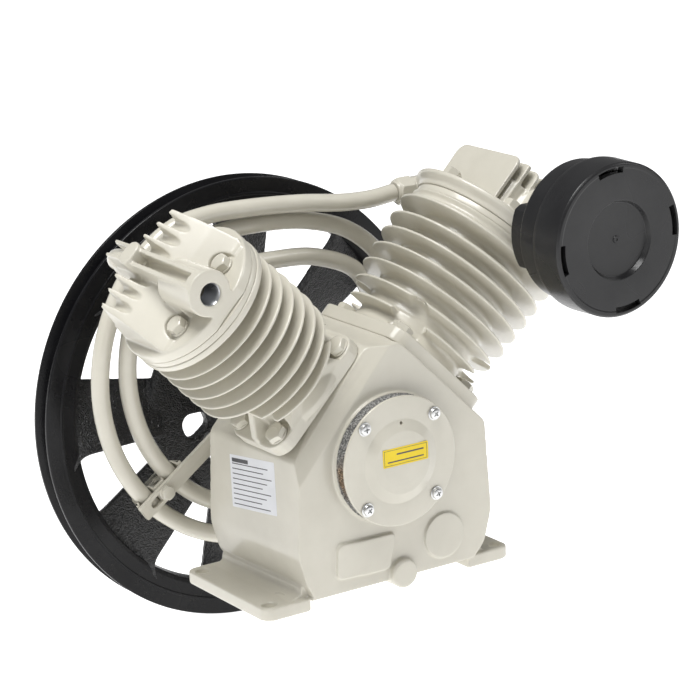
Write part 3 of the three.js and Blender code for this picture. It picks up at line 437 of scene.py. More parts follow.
def evaluated(obj):
    bpy.context.view_layer.update()
    depsgraph = bpy.context.evaluated_depsgraph_get()
    mesh = bpy.data.meshes.new_from_object(obj.evaluated_get(depsgraph))
    bm = bmesh.new()
    bm.from_mesh(mesh)
    bpy.data.meshes.remove(mesh)
    return bm


def carve(base, *steps):
    """Runs boolean steps, each (PLUS, MINUS or BOTH, bmesh), on a solid."""
    obj = held(base)
    tools = []
    for operation, tool in steps:
        other = held(tool)
        tools.append(other)
        modifier = obj.modifiers.new(operation, "BOOLEAN")
        modifier.operation = operation
        modifier.solver = "MANIFOLD"
        modifier.object = other
    out = evaluated(obj)
    for other in [obj, *tools]:
        bpy.data.objects.remove(other)
    return out


def cast(bm, voxel, smooth, keep):
    """Skins a solid the way a casting looks, every edge and inside corner softened: cells of voxel
    millimetres, that many smoothing rounds, and the share of triangles that stays."""
    obj = held(bm)
    remesh = obj.modifiers.new("skin", "REMESH")
    remesh.mode = "VOXEL"
    remesh.voxel_size = voxel
    soften = obj.modifiers.new("soften", "SMOOTH")
    soften.factor = 0.5
    soften.iterations = smooth
    thin = obj.modifiers.new("thin", "DECIMATE")
    thin.ratio = keep
    out = evaluated(obj)
    bpy.data.objects.remove(obj)
    return out


def piece(name, bm, nodes, look, matrix=None, sharp=32, ink=None, body=ROOT):
    """Places a finished mesh, in millimetres, as the visible stand-in for CAD nodes. Faces with
    material index 1 get the ink, and edges sharper than the angle in degrees stay sharp."""
    bmesh.ops.transform(bm, matrix=Matrix.Scale(MM, 4) @ (matrix or Matrix()), verts=bm.verts)
    mesh = bpy.data.meshes.new(name)
    bm.to_mesh(mesh)
    bm.free()
    mesh.shade_smooth()
    if sharp:
        mesh.set_sharp_from_angle(angle=radians(sharp))
    mesh.materials.append(MATERIALS[look])
    if ink:
        mesh.materials.append(MATERIALS[ink])
    obj = bpy.data.objects.new(name, mesh)
    scene.collection.objects.link(obj)
    if nodes:
        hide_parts(*nodes)
    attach(obj, body)


def corners(a, b):
    return [(-a, -b), (a, -b), (a, b), (-a, b)]


def head_bolt_places(bank):
    count = bank["head_bolts"]
    turns = [radians(bank["head_bolt_turn"] + i * 360 / count) for i in range(count)]
    return [(bank["head_bolt_r"] * cos(a), bank["head_bolt_r"] * sin(a)) for a in turns]


# -------- bolts and screws
def hex_head(across, height, washer_r, washer_t, shank_r=3.5, shank=6):
    """A hexagon bolt head on a washer face, seat at z = 0, its corners chamfered on top."""
    corner = across / sqrt(3)
    crown = lathe([(0, -1), (corner + 1, -1), (corner + 1, height - 2.2), (across / 2 - 0.4, height - 0.3),
                   (across / 2 - 1.2, height), (0, height)], 48)
    head = carve(prism(hexagon(across), washer_t - 0.2, height), (BOTH, crown))
    washer = lathe([(0, -shank), (shank_r, -shank), (shank_r, 0), (washer_r - 0.3, 0), (washer_r, 0.3),
                    (washer_r, washer_t - 0.4), (washer_r - 0.4, washer_t), (0, washer_t)], 40)
    return carve(washer, (PLUS, head))


def place_bolts(prefix, spots, pattern, look, body=ROOT):
    """One bolt for each (node, matrix) spot, each turned by its own amount."""
    spin = random.Random(len(prefix) * 7 + 3)
    for node, matrix in spots:
        turned = matrix @ Matrix.Rotation(spin.uniform(0, pi / 3), 4, "Z")
        piece(f"{node}_head", pattern.copy(), [node], look, turned, sharp=28, body=body)
    pattern.free()


for prefix, bank in BANKS.items():
    for kind, places, height, bolt in (
            ("base", corners(*bank["bolts"]), FLANGE_TOP, hex_head(16.4, 7, 9.4, 1.4, 4.4)),
            ("head", head_bolt_places(bank), bank["head_top"], hex_head(13.8, 8.8, 8.2, 1.8))):
        spots = [(f"{prefix}_{kind}_bolt_{i + 1}", bank["frame"] @ at(u, y, height + GAP))
                 for i, (u, y) in enumerate(places)]
        place_bolts(f"{prefix}_{kind}", spots, bolt, "bolt_paint")

BACKWARD = spun(-90, "X")      # +Z of a bolt's head turned to +Y
FORWARD = spun(90, "X")        # +Z of a screw's head turned to -Y
CARRIER_BOLT_R = 50.5
spots = [(f"carrier_bolt_{i + 1}", at(x, CARRIER_BACK + GAP, CRANK_Z + z) @ BACKWARD)
         for i, (x, z) in enumerate(corners(CARRIER_BOLT_R * S, CARRIER_BOLT_R * S))]
place_bolts("carrier", spots, hex_head(12.8, 7, 7.4, 1.2), "zinc_steel")


def pan_screw():
    """A pan head with a cross recess and a plain washer, seat at z = 0, pointing up."""
    dome = lathe([(0, -3), (2.4, -3), (2.4, 0), (5.6, 0), (5.9, 0.3), (5.9, 0.7), (5.6, 0.9), (4.7, 0.95),
                  (4.9, 1.3), (4.9, 2.0), (4.5, 2.9), (3.6, 3.45), (2.0, 3.6), (0, 3.6)], 48)
    wide, long = 0.55, 2.6
    pit = lathe([(0, 1.2), (0.4, 1.2), (1.5, 4), (0, 4)], 24)
    return carve(dome, (MINUS, box((-long, -wide, 1.9), (long, wide, 5))),
                 (MINUS, box((-wide, -long, 1.9), (wide, long, 5))), (MINUS, pit))


spots = [(f"cover_screw_{i + 1}", at(x, COVER_FACE - GAP, CRANK_Z + z) @ FORWARD)
         for i, (x, z) in enumerate(corners(SCREW_R * S, SCREW_R * S))]
place_bolts("cover", spots, pan_screw(), "zinc_steel")


# -------- crankcase
def case_outline():
    """The crankcase seen from the front: base, side walls, sloping decks and top."""
    top = CRANK_Z + DECK * sqrt(2)
    half = [(84, 10, 8), (95, 22, 14), (103, 50, 40), (98.5, top - 98.5, 10), (15, top - 15, 10)]
    return rounded(half + [(-x, z, r) for x, z, r in reversed(half)], steps=8)


def fade(value, start, end):
    """0 as far as start, 1 from end on, and a straight line between."""
    return min(max((value - start) / (end - start), 0), 1)


def drawn_in(bm):
    """Moves the left wall in, more so at its front, and leaves the foot and the deck where they are."""
    for v in bm.verts:
        x, y, z = v.co
        share = fade(-x, 60, 85) * fade(-x, 118, 110) * (fade(z, 10, 14) * fade(z, 175, 155))
        v.co.x += share * (5 + 5 * (CASE_BACK - y) / (CASE_BACK - CASE_FRONT))
    return bm


def crankcase():
    """The house-shaped casting with its feet, pads, drain boss and bores, hollow inside."""
    front, back = CASE_FRONT, CASE_BACK
    deck_edge = SMALL["frame"] @ at(0, -52, DECK + 5) @ spun(-28, "X")
    steps = [(MINUS, box((-80, -14, -20), (80, 14, 24), deck_edge))]
    for side in (-1, 1):
        foot = rounded([(side * 80, -61.9, 2), (side * 124.7, -61.9, 8), (side * 124.7, 66.3, 8),
                        (side * 80, 66.3, 2)])
        fillet = rounded([(side * 80, 3), (side * 104, 9.8), (side * 97, 12.6, 5), (side * 95.5, 23, 5),
                          (side * 80, 23)])
        steps += [(PLUS, prism(foot, 0, 10.9, bevel=1.6)), (PLUS, prism(fillet, -57, 61, TO_Y))]
    name_pad = rounded([(-58, 23, 6), (-5, 21, 6), (2, 52, 4), (-56, 53, 6)])
    drain = [(0, front - 6), (11.2, front - 6), (12.6, front - 4.4), (13, front + 34), (0, front + 34)]
    steps += [(PLUS, prism(name_pad, front - 3.5, front + 4, TO_Y, bevel=0.5)),
              (PLUS, taper_y(19.8, 20.4, front - 2.3, front + 5, 52, 38)),
              (PLUS, lathe_y(drain, 8.5, 14.6)),
              (PLUS, taper_y(55.6, 56.4, front - 3, front + 4)),
              (PLUS, taper_y(8, 8, back - 4, BAR_Y[0] - GAP, BAR_FOOT.x, BAR_FOOT.z))]
    for bank in BANKS.values():
        u, y = bank["flange"]
        seat = plate(u + 1.5, y + 1.2, 16)
        steps.append((PLUS, prism(seat, DECK - 8, DECK - 0.2, bank["frame"], bevel=0.8)))
    steps += [(MINUS, rod_z(5.5, x, y, -5, 20)) for x, y in FOOT_HOLES]
    hollow = [(x * 0.80, CRANK_Z + (z - CRANK_Z) * 0.9) for x, z in case_outline()]
    steps += [(MINUS, rod_y(40.5, back - 20, CARRIER_BACK)),
              (MINUS, rod_y(45, front - 9, front + 30)),
              (MINUS, rod(49.8, 40, DECK + 20, 64, LARGE["frame"])),
              (MINUS, rod(31.8, 40, DECK + 20, 64, SMALL["frame"])),
              (MINUS, prism(hollow, front + 9, back - 9, TO_Y))]
    body = prism(case_outline(), front, back, TO_Y, bevel=7.5)
    return cast(drawn_in(carve(body, *steps)), 0.85, 2, 0.2)


piece("crankcase_casting", crankcase(), ["crankcase"], "cast_paint", sharp=0)


# -------- front cover, felt ring and labels
def front_cover():
    """A pressed disc with a raised middle and a small vent hole."""
    profile = bent([(0, COVER_PLATEAU + 0.2), (20, COVER_PLATEAU, 6), (27, COVER_PLATEAU + 0.7, 4),
                    (36, COVER_FACE, 4), (COVER_R, COVER_FACE + 0.2, 1), (COVER_R, COVER_BACK, 0.4),
                    (0, COVER_BACK)], steps=6)
    vent = rod_y(1.5, COVER_FACE - 8, COVER_FACE + 2, 1, CRANK_Z + 33, 20)
    return carve(lathe_y(profile, segments=160), (MINUS, vent))


piece("front_cover_pressing", front_cover(), ["front_cover"], "tube_paint")


def felt_ring():
    """A ring of matted fibre whose outer face is uneven."""
    rows, turns = 9, 420
    inner_r, outer_r = 40, 55.4
    y0, y1 = COVER_BACK + GAP, CASE_FRONT - 3 - GAP
    outline = [(inner_r, y0), *((outer_r, y0 + (y1 - y0) * k / rows) for k in range(rows + 1)), (inner_r, y1)]
    loops = []
    for k in range(turns):
        a = 2 * pi * k / turns
        line = []
        for r, y in outline:
            if r > inner_r:
                spot = Vector((cos(a) * 30, y * 0.9, sin(a) * 30))
                r += noise.noise(spot) * 0.5 + noise.noise(spot * 4.1) * 0.6 - 0.6
            line.append((r * cos(a), y, CRANK_Z + r * sin(a)))
        loops.append(line)
    return skin(loops, closed=True)


piece("felt_ring", felt_ring(), ["breather_ring"], "grey_felt")


def label(width, height, bars, framed):
    """A blank sticker: a thin plate, with a printed frame or none, and plain bars in place of wording."""
    if framed:
        a, b, line = width / 2 - 1.2, height / 2 - 1.2, 0.35
        bars = [(-a, -b, a, -b + line), (-a, b - line, a, b), (-a, -b, -a + line, b), (a - line, -b, a, b),
                *bars]
    bm = prism(plate(width / 2, height / 2, 1.0), 0, 0.25)
    for a0, b0, a1, b1 in bars:
        bar = box((a0, b0, 0.2), (a1, b1, 0.30))
        for face in bar.faces:
            face.material_index = 1
        mesh = bpy.data.meshes.new("bar")
        bar.to_mesh(mesh)
        bar.free()
        bm.from_mesh(mesh)
        bpy.data.meshes.remove(mesh)
    return bm


notice = label(45, 15.5, [(-9, 1.6, 18, 2.9), (-18, -4.2, 18, -3.1)], True)
on_cover = at(2, COVER_PLATEAU + 0.06, CRANK_Z + 6.5) @ FORWARD
piece("blank_notice", notice, [], "yellow_label", on_cover, ink="label_ink")

# nine thin bars of uneven length below a thick one
bars = [(-30, 19 - 4.3 * k, 30 - (7 * k) % 19, 19.8 - 4.3 * k) for k in range(1, 10)]
bars.append((-30, 16.4, -6, 19.8))
on_wall = at(-100.2, 0.5, 96.6) @ spun(3.3, "Y") @ spun(-90, "Z") @ FORWARD @ spun(6.5, "Z")
rating_plate = drawn_in(moved(label(66, 45, bars, False), on_wall))
piece("blank_rating_plate", rating_plate, [], "white_label", ink="label_ink")


# -------- cylinders
def cylinder(bank):
    """A finned barrel on a flange, with a pocket cut out over each base bolt."""
    barrel, top = bank["barrel"], bank["top"]
    profile = [(0, 84), (barrel + 6, 84), (barrel + 6, 90, 3), (barrel + 1, 98, 8)]
    for height, radius in bank["fins"]:
        profile += [(barrel, height - 3.0, 3), (radius, height - 1.25, 1), (radius, height + 1.05, 1),
                    (barrel, height + 2.8, 3)]
    if bank is LARGE:
        profile += [(barrel, 197.5, 3), (76.5, 200.2, 1.2), (76.5, 202.6, 1.2), (69.2, 204.6, 3),
                    (68.6, 208, 4), (top + 1, BARREL_TOP - 1.2, 0.5), (top + 1, BARREL_TOP), (0, BARREL_TOP)]
    else:
        profile += [(barrel, 203, 3), (top, 206, 1.2), (top, BARREL_TOP), (0, BARREL_TOP)]
    body = lathe(bent(profile, steps=4), 144)
    steps = []
    if bank is SMALL:
        # a skirt over the oblong flange, its left side opened but for a rib between the bolts
        skirt = bent([(0, 84), (51, 84), (51, 92, 2), (40, 106, 22), (38, 120), (0, 120)])
        rib = rounded([(-30, 88), (-56, 88), (-56, 96, 4), (-barrel - 1, 117, 6), (-30, 120)])
        steps += [(PLUS, carve(lathe(skirt, 96), (BOTH, prism(plate(56.5, 37.6, 15), 80, 130)))),
                  (MINUS, box((-80, -46, FLANGE_TOP - 0.5), (-barrel - 0.6, 46, 117.5))),
                  (MINUS, box((-80, -46, 117), (-barrel - 7, 46, 131))),
                  (PLUS, prism(rib, -12, -4, TO_Y, bevel=2))]
    for u, y in corners(*bank["bolts"]):
        if bank is LARGE:
            reach, rise, away = 17, FLANGE_TOP + 15, atan2(y, u)
        elif y < 0:
            reach, rise, away = 13.5, FLANGE_TOP + 12, atan2(y * 1.6, u)
        else:
            reach, rise, away = 12.6, FLANGE_TOP + 12, atan2(y * 0.25, u)
        here = at(u, y, 0) @ Matrix.Rotation(away, 4, "Z")
        for pocket in (capsule(reach, u, y, FLANGE_TOP - 0.5, rise),
                       box((0, -reach, FLANGE_TOP - 0.5), (60, reach, rise), here),
                       rod(reach, 0, 60, 48, here @ at(0, 0, rise) @ TO_X)):
            kept = lathe([(0, 80), (barrel + 3, 80), (barrel + 0.8, 100), (barrel + 0.8, 150), (0, 150)], 96)
            steps.append((MINUS, carve(pocket, (MINUS, kept))))
    steps += [(PLUS, prism(plate(*bank["flange"], 15), DECK + GAP, FLANGE_TOP, bevel=0.9)),
              (MINUS, rod_z(bank["bore"] + 0.2, 0, 0, 60, 230, 96))]
    steps += [(MINUS, rod_z(5.2, u, y, 60, FLANGE_TOP + 4, 24)) for u, y in corners(*bank["bolts"])]
    return cast(carve(body, *steps), 0.95, 3, 0.3)


def valve_plate(bank):
    r = bank["top"] - 0.6
    profile = bent([(0, BARREL_TOP + GAP), (r, BARREL_TOP + GAP, 0.5), (r, PLATE_TOP - GAP, 0.5),
                    (0, PLATE_TOP - GAP)], steps=3)
    return lathe(profile, 144)


for prefix, bank in BANKS.items():
    piece(f"{prefix}_cylinder_casting", cylinder(bank), [f"{prefix}_cylinder"], "cast_paint",
          bank["frame"], sharp=0)
for prefix, bank in BANKS.items():
    piece(f"{prefix}_valve_disc", valve_plate(bank), [f"{prefix}_valve_plate"], "cast_paint", bank["frame"])


# -------- heads
def large_head():
    """Nine straight fins over a dished rim, the intake neck in front and the outlet boss behind."""
    top = LARGE["head_top"]
    rim = bent([(0, PLATE_TOP), (70.5, PLATE_TOP, 0.6), (71.5, 221.5, 4), (76.9, 226.2, 1.2),
                (76.9, top, 1.4), (71, top, 1), (70, top - 1.4, 1.5), (0, top - 1.4)], steps=4)
    steps = [(PLUS, prism(plate(38, 46, 10), top - 3, 256, bevel=2))]
    for i in range(-4, 5):
        u = i * 10.5
        reach = min(sqrt(60 ** 2 - u ** 2), 49.5)
        fin = rounded([(-reach, top - 3), (reach, top - 3), (reach, 275, 9), (-reach, 275, 9)], steps=6)
        steps.append((PLUS, prism(fin, u - 2, u + 2, TO_X, bevel=0.8)))
    intake = at(0, 0, PORT_L) @ TO_Y
    outlet = at(OUTLET_U, 0, PORT_L) @ TO_Y
    steps += [(PLUS, lathe([(0, -77), (21.5, -77), (24.5, -74), (25, -30), (0, -30)], 64, intake)),
              (PLUS, lathe([(0, 30), (14, 30), (14, 76), (12.6, 77.8), (0, 77.8)], 48, outlet))]
    for u, y in head_bolt_places(LARGE):
        steps += [(MINUS, rod_z(9.6, u, y, top, 300)), (PLUS, rod_z(9.4, u, y, top - 3, top))]
    steps += [(MINUS, rod(19, -90, -66, 48, intake)), (MINUS, rod(8.3, 60, 90, 32, outlet))]
    return cast(carve(lathe(rim, 160), *steps), 0.95, 3, 0.35)


def small_head():
    """Eight tapered fins over a low base, the delivery boss in front and four bolt seats."""
    top = SMALL["head_top"]
    tips = [(-45.5, 266), (-32, 265), (-19, 266), (-6.4, 271), (6.4, 271), (20.5, 266), (34.5, 265),
            (48, 266)]
    comb = [(-54.5, top - 2), (-50, 250, 3)]
    for i, (u, tip) in enumerate(tips):
        comb += [(u - 1.3, tip, 1.1), (u + 1.3, tip, 1.1)]
        if i + 1 < len(tips):
            floor = 256 if i == 3 else 251.5
            comb += [(u + 3.4, floor, 4), (tips[i + 1][0] - 3.4, floor, 4)]
    comb += [(53, 250, 3), (56, top - 2)]
    # the side fins fall away towards the front bolts, the middle pair only a little
    fall = rounded([(75, 300), (75, 268), (37, 266, 16), (12, 254.5, 30), (-8, 244, 30), (-30, 229.5, 8),
                    (-90, 225), (-90, 300)])
    ease = [(75, 300), (75, 272), (40, 271), (-90, 258), (-90, 300)]
    shape = [(BOTH, lathe([(0, 200), (62.3, 200), (60.3, 300), (0, 300)], 96)),
             (MINUS, prism(ease, -10, 10, TO_X))]
    for side in (-1, 1):
        behind = [(side * 9.4, 40), (side * 54, 29), (side * 90, 29), (side * 90, 90), (side * 9.4, 90)]
        shape += [(MINUS, prism(fall, *sorted((side * 9.4, side * 80)), TO_X)),
                  (MINUS, prism(behind, 241, 300))]
    fins = carve(prism(rounded(comb, steps=4), -56, 60, TO_Y), *shape)
    axis = at(0, 0, PORT_L) @ TO_Y
    side = bent([(-27, top - 2), (-19.6, 235, 12), (-19, 243)])
    arch = [*side, *arc(19, 170, 10, 20, 0, PORT_L), *((-p.x, p.y) for p in reversed(side))]
    steps = [
        (PLUS, fins),
        (PLUS, carve(prism(arch, -66, -12, TO_Y), (BOTH, rod(63.1, 200, 300, 144)))),
        (MINUS, prism(rounded([(-4.9, 280), (-4.2, 255, 4), (4.2, 255, 4), (4.9, 280)]), -51, 70, TO_Y)),
        (PLUS, lathe([(0, 20), (15, 20), (15, 60), (13.5, 61.7), (0, 61.7)], 48, axis)),
        (PLUS, prism(plate(10.5, 8, 7), 248, 272.6, at(0, 29, 0), bevel=1.2)),
    ]
    # wells for the bolts, open to the front or the back
    for u, y in head_bolt_places(SMALL):
        mouth, ceiling = (-80, 300) if y < 0 else (80, 241)
        steps += [(MINUS, rod_z(10.8, u, y, top, ceiling)),
                  (MINUS, box((u - 10.8, min(y, mouth), top), (u + 10.8, max(y, mouth), ceiling))),
                  (PLUS, rod_z(9.4, u, y, top - 3, top + 0.1))]
    for low, high in ((13, 70), (-70, -13)):
        boss_kept = lathe([(0, -100), (19, -100), (19, 0), (0, 0)], 48, axis)
        steps.append((MINUS, carve(box((low, -80, top), (high, -34, 300)), (MINUS, boss_kept))))
    port = at(0, 0, PORT_L - 2) @ TO_Y
    steps += [(MINUS, box((-80, -120, 200), (80, SMALL_PORT_FACE, 300))),
              (MINUS, rod(9.3, -70, -32, 48, port)),
              (MINUS, lathe([(0, -70), (12.2, -70), (9.3, -58.4), (0, -58.4)], 48, port)),
              (MINUS, rod(8.3, 50, 70, 32, axis))]
    rim = bent([(0, PLATE_TOP), (63.2, PLATE_TOP, 0.6), (63.2, top, 1.6), (0, top)])
    return cast(carve(lathe(rim, 144), *steps), 0.8, 2, 0.35)


piece("large_head_casting", large_head(), ["large_head"], "cast_paint", LARGE["frame"], sharp=0)
piece("small_head_casting", small_head(), ["small_head"], "cast_paint", SMALL["frame"], sharp=0)


def port_thread():
    """The bare threaded wall of the delivery port, a tube just inside the painted bore."""
    start, end, pitch = -58.2, -34.0, 1.8
    section = [(9.25, start)]
    while section[-1][1] + pitch < end:
        y = section[-1][1]
        section += [(8.5, y + pitch / 2), (9.1, y + pitch)]
    section += [(9.6, section[-1][1]), (9.6, start)]
    angles = [2 * pi * k / 64 for k in range(64)]
    loops = [[(r * cos(a), y, r * sin(a)) for a in angles] for r, y in section]
    return skin(loops, closed=True, matrix=at(0, 0, PORT_L - 2))


piece("port_thread", port_thread(), [], "bare_steel", SMALL["frame"])


# -------- intake filter
ON_FILTER = at(FILTER_X, 0, FILTER_Z) @ TO_Y


def filter_body():
    back = FILTER_BACK
    profile = bent([(0, -148), (56.5, -148), (57.8, -125, 2), (60, -124, 0.8), (60, back - 3, 2.5),
                    (57, back, 1.5), (0, back)], steps=4)
    lug = rounded([(-58, -16, 6), (-44, -30, 10), (44, -30, 10), (58, -16, 6), (58, 16, 6), (44, 25, 10),
                   (-44, 25, 10), (-58, 16, 6)])
    block = carve(prism(lug, back - 4, -83, ON_FILTER, bevel=1.2),
                  (BOTH, rod_y(54, back - 10, -70, FILTER_X, FILTER_Z)))
    return carve(lathe_y(profile, FILTER_X, FILTER_Z, 144), (PLUS, block),
                 (PLUS, rod_y(25.5, back - 4, -77.9, FILTER_X, FILTER_Z, 64)),
                 (MINUS, rod_y(54, -155, back - 4, FILTER_X, FILTER_Z)))


def filter_cap():
    """A round lid with a shallow well, a moulding mark in its middle and four slots in its rim."""
    face, edge = CAP_Y
    r = CAP_R
    well, border = face + 5, face + 0.35
    profile = bent([(0, well), (31, well, 1), (33.2, border, 0.8), (r - 6, border, 1), (r - 5, face, 0.5),
                    (r - 2.2, face, 1.4), (r - 0.5, face + 1.8, 1.2), (r, edge - 4, 0.6),
                    (r - 0.4, edge, 0.8), (r - 2.8, edge, 0.4), (r - 2.8, well + 2, 1), (0, well + 2)],
                   steps=4)
    steps = [(PLUS, taper_y(2.8, 3.6, well - 1, well + 0.4, FILTER_X, FILTER_Z, 40)),
             (MINUS, taper_y(1.5, 1.1, face, face + 4.7, FILTER_X, FILTER_Z, 32))]
    for quarter in range(4):
        start = 90 * quarter - 4.5
        slot = arc(61.2, start, start + 25, 12) + arc(56.2, start, start + 25, 12)[::-1]
        steps.append((MINUS, prism(slot, face - 2, face + 9, ON_FILTER)))
    return carve(lathe_y(profile, FILTER_X, FILTER_Z, 192), *steps)


piece("filter_housing", filter_body(), ["filter_body"], "black_plastic")
piece("filter_lid", filter_cap(), ["filter_cap"], "black_plastic")


# -------- intercooler tube and fittings
def between(a, b, t, start, end):
    """The point at t on the line that is at a for t = start and at b for t = end."""
    return a + (b - a) * ((t - start) / (end - start))


def spline(points, per_span=10):
    """Centripetal Catmull-Rom curve through the points."""
    ends = [points[0] * 2 - points[1], *points, points[-1] * 2 - points[-2]]
    out = []
    for a, b, c, d in zip(ends, ends[1:], ends[2:], ends[3:]):
        t1 = sqrt((b - a).length)
        t2 = t1 + sqrt((c - b).length)
        t3 = t2 + sqrt((d - c).length)
        for k in range(per_span):
            t = t1 + (t2 - t1) * k / per_span
            ab, bc, cd = between(a, b, t, 0, t1), between(b, c, t, t1, t2), between(c, d, t, t2, t3)
            abc, bcd = between(ab, bc, t, 0, t2), between(bc, cd, t, t1, t3)
            out.append(between(abc, bcd, t, t1, t2))
    out.append(points[-1])
    return out


def sweep(path, radius, segments=28):
    """A round tube along a path, with flat ends."""
    normal = None
    loops = []
    for i, point in enumerate(path):
        ahead = path[min(i + 1, len(path) - 1)] - path[max(i - 1, 0)]
        ahead.normalize()
        normal = normal or ahead.orthogonal()
        normal = (normal - ahead * normal.dot(ahead)).normalized()
        side = ahead.cross(normal)
        loops.append([point + (normal * cos(a) + side * sin(a)) * radius
                      for a in (2 * pi * k / segments for k in range(segments))])
    return skin(loops)


COIL_Y = 112
TUBE_R = 7.85
ELBOW_Y = 95.5
NUT_X = 124
OUTLET = LARGE["frame"] @ Vector((OUTLET_U, 78, PORT_L))
INLET = SMALL["frame"] @ Vector((0, 62, PORT_L))


def tube_route():
    """From the large head's elbow, the outer turn, the inner turn, and up to the small head."""
    def around(centre, r, degrees):
        a = radians(degrees)
        return (centre[0] + r * cos(a), COIL_Y, centre[1] + r * sin(a))

    outer, inner = (-15.3, 165.2), (-3.2, 174.4)
    route = [
        (NUT_X - 1, ELBOW_Y, OUTLET.z - 1), (100, 95.5, 295.4), (72, 97.5, 296), (28, 100, 301.5),
        (-24, 104, 304.5), (-62, 108, 303.5), (-93, 111, 296.5),
        *(around(outer, 156, a) for a in (140, 160, 180, 200, 220, 240, 256)),
        (-16, 112, 10.5), (38, 112, 16), (88, 112, 44), (122, 112, 88), (135, 112, 140), (133, 111, 190),
        (119, 110, 234), (86, 110, 266), (39, 110, 283), (-16, 111, 287.5), (-62, 112, 283),
        *(around(inner, 141.2, a) for a in (138, 158, 180, 202, 222, 242)),
        (-6, 112, 34), (46, 112, 45), (86, 112, 82), (107, 111, 130), (109, 110, 182), (91, 109, 228),
        (48, 108, 249), (-6, 101, 256), (-58, 92, 258), (-104, 87, 266), (-140, 86, 279), (-163, 80, 288),
        (INLET.x, 66, INLET.z), (INLET.x, INLET.y + 12, INLET.z),
    ]
    return [Vector(p) for p in route]


piece("intercooler_pipe", sweep(spline(tube_route()), TUBE_R), ["intercooler_tube"], "tube_paint", sharp=50)


def outlet_elbow():
    """A bent fitting with a hexagon nut and a thin collar where the tube enters."""
    bend = 9
    x, y, z = OUTLET
    path = [Vector((x, y + GAP, z)), Vector((x, ELBOW_Y - bend, z))]
    for k in range(1, 10):
        a = radians(10 * k)
        path.append(Vector((x - bend * (1 - cos(a)), ELBOW_Y - bend + bend * sin(a), z - 0.1 * k)))
    path.append(Vector((NUT_X + 12, ELBOW_Y, z - 1)))
    along = at(0, ELBOW_Y, z - 1) @ spun(90, "Y") @ at(0, 0, NUT_X)
    chamfer = lathe([(0, 2), (10.4, 2), (13.2, 4.4), (13.2, 15.2), (11.6, 17), (0, 17)], 64)
    nut = moved(carve(prism(hexagon(22), 2, 17), (BOTH, chamfer)), along)
    collar = bent([(0, 0), (9.3, 0, 0.5), (9.6, 1.6, 0.5), (8.9, 3, 0.4), (8.9, 6), (0, 6)])
    flange = lathe([(0, 0), (11.9, 0), (12.3, 0.8), (12.3, 3.6), (11.6, 4.6), (0, 4.6)], 64,
                   at(x, y + GAP, z) @ TO_Y)
    return cast(carve(sweep(path, 11.2, 48), (PLUS, nut), (PLUS, lathe(collar, 64, along)), (PLUS, flange)),
                0.55, 2, 0.35)


def inlet_nut():
    along = at(INLET.x, INLET.y + GAP, INLET.z) @ TO_Y
    chamfer = lathe([(0, 3), (12.4, 3), (12.6, 9), (11, 10.4), (0, 10.4)], 64)
    nut = moved(carve(prism(hexagon(21.5), 3, 10.4), (BOTH, chamfer)), along)
    body = lathe([(0, 0), (11.6, 0), (12, 0.4), (12, 3.6), (11, 4.4), (9.4, 4.4), (9.4, 11.3), (0, 11.3)], 64,
                 along)
    return carve(body, (PLUS, nut))


piece("outlet_elbow", outlet_elbow(), ["large_outlet_elbow"], "tube_paint", sharp=40)
piece("inlet_nut", inlet_nut(), ["small_inlet_nut"], "tube_paint")

# -------- bracket, clip and their bolts
BAR_SLOPE = 215.2  # degrees
BAR_LENGTH = 89.5
CLIP_AT = 61.5  # along the bar
on_bar = at(*BAR_FOOT) @ spun(-BAR_SLOPE, "Y")


def bracket():
    """A flat bar with a slot that the clip's bolt passes through."""
    slot_start, slot_end, half = CLIP_AT - 7, CLIP_AT + 18, 3.8
    outline = rounded([(-12, -7, 5), (BAR_LENGTH, -7, 1), (BAR_LENGTH, 7, 1), (-12, 7, 5)])
    slot = rounded([(slot_start, -half, 3.7), (slot_end, -half, 3.7), (slot_end, half, 3.7),
                    (slot_start, half, 3.7)])
    return carve(prism(outline, *BAR_Y, on_bar @ TO_Y, bevel=0.7),
                 (MINUS, prism(slot, 90, 110, on_bar @ TO_Y)))


def clip():
    """A strap that wraps behind each turn of the tube and comes forward to the bar between them."""
    front = BAR_Y[1] + 1.4
    wrap = TUBE_R + 1.4
    path = [(CLIP_AT - 28, front)]
    for middle in (CLIP_AT - 15.2, CLIP_AT + 14.9):
        path += [(middle - wrap - 0.6, front), (middle - wrap, front + 0.8),
                 *arc(wrap, 180, 0, 12, middle, COIL_Y),
                 (middle + wrap, front + 0.8), (middle + wrap + 0.6, front)]
    path = [Vector(p) for p in path + [(CLIP_AT + 27, front)]]
    left, right = [], []
    for i, point in enumerate(path):
        ahead = (path[min(i + 1, len(path) - 1)] - path[max(i - 1, 0)]).normalized()
        side = Vector((-ahead.y, ahead.x)) * 0.95
        left.append(point + side)
        right.append(point - side)
    return prism(left + right[::-1], -8.9, 8.9, on_bar)


def through_bolt():
    """A hexagon bolt in the slot, its nut behind the strap and its thread standing out."""
    head = moved(hex_head(11.4, 5.4, 7.0, 1.2, 3.0, COIL_Y + TUBE_R + 6 - BAR_Y[0]),
                 on_bar @ at(CLIP_AT, BAR_Y[0] - GAP, 0) @ FORWARD)
    nut_at = BAR_Y[1] + 2.6
    nut = prism(hexagon(11), nut_at, nut_at + 4.5, on_bar @ at(CLIP_AT, 0, 0) @ TO_Y, bevel=0.6)
    return carve(head, (PLUS, nut))


piece("tube_bracket_bar", bracket(), ["tube_bracket"], "tube_paint")
piece("tube_clip_strap", clip(), ["tube_clip"], "tube_paint")
piece("clip_through_bolt", through_bolt(), ["clip_bolt"], "bolt_paint")
foot_bolt = at(BAR_FOOT.x, BAR_Y[1] + GAP, BAR_FOOT.z) @ BACKWARD
place_bolts("bracket", [("bracket_bolt", foot_bolt)], hex_head(11.4, 6, 6.6, 1.2, 2.6), "zinc_steel")


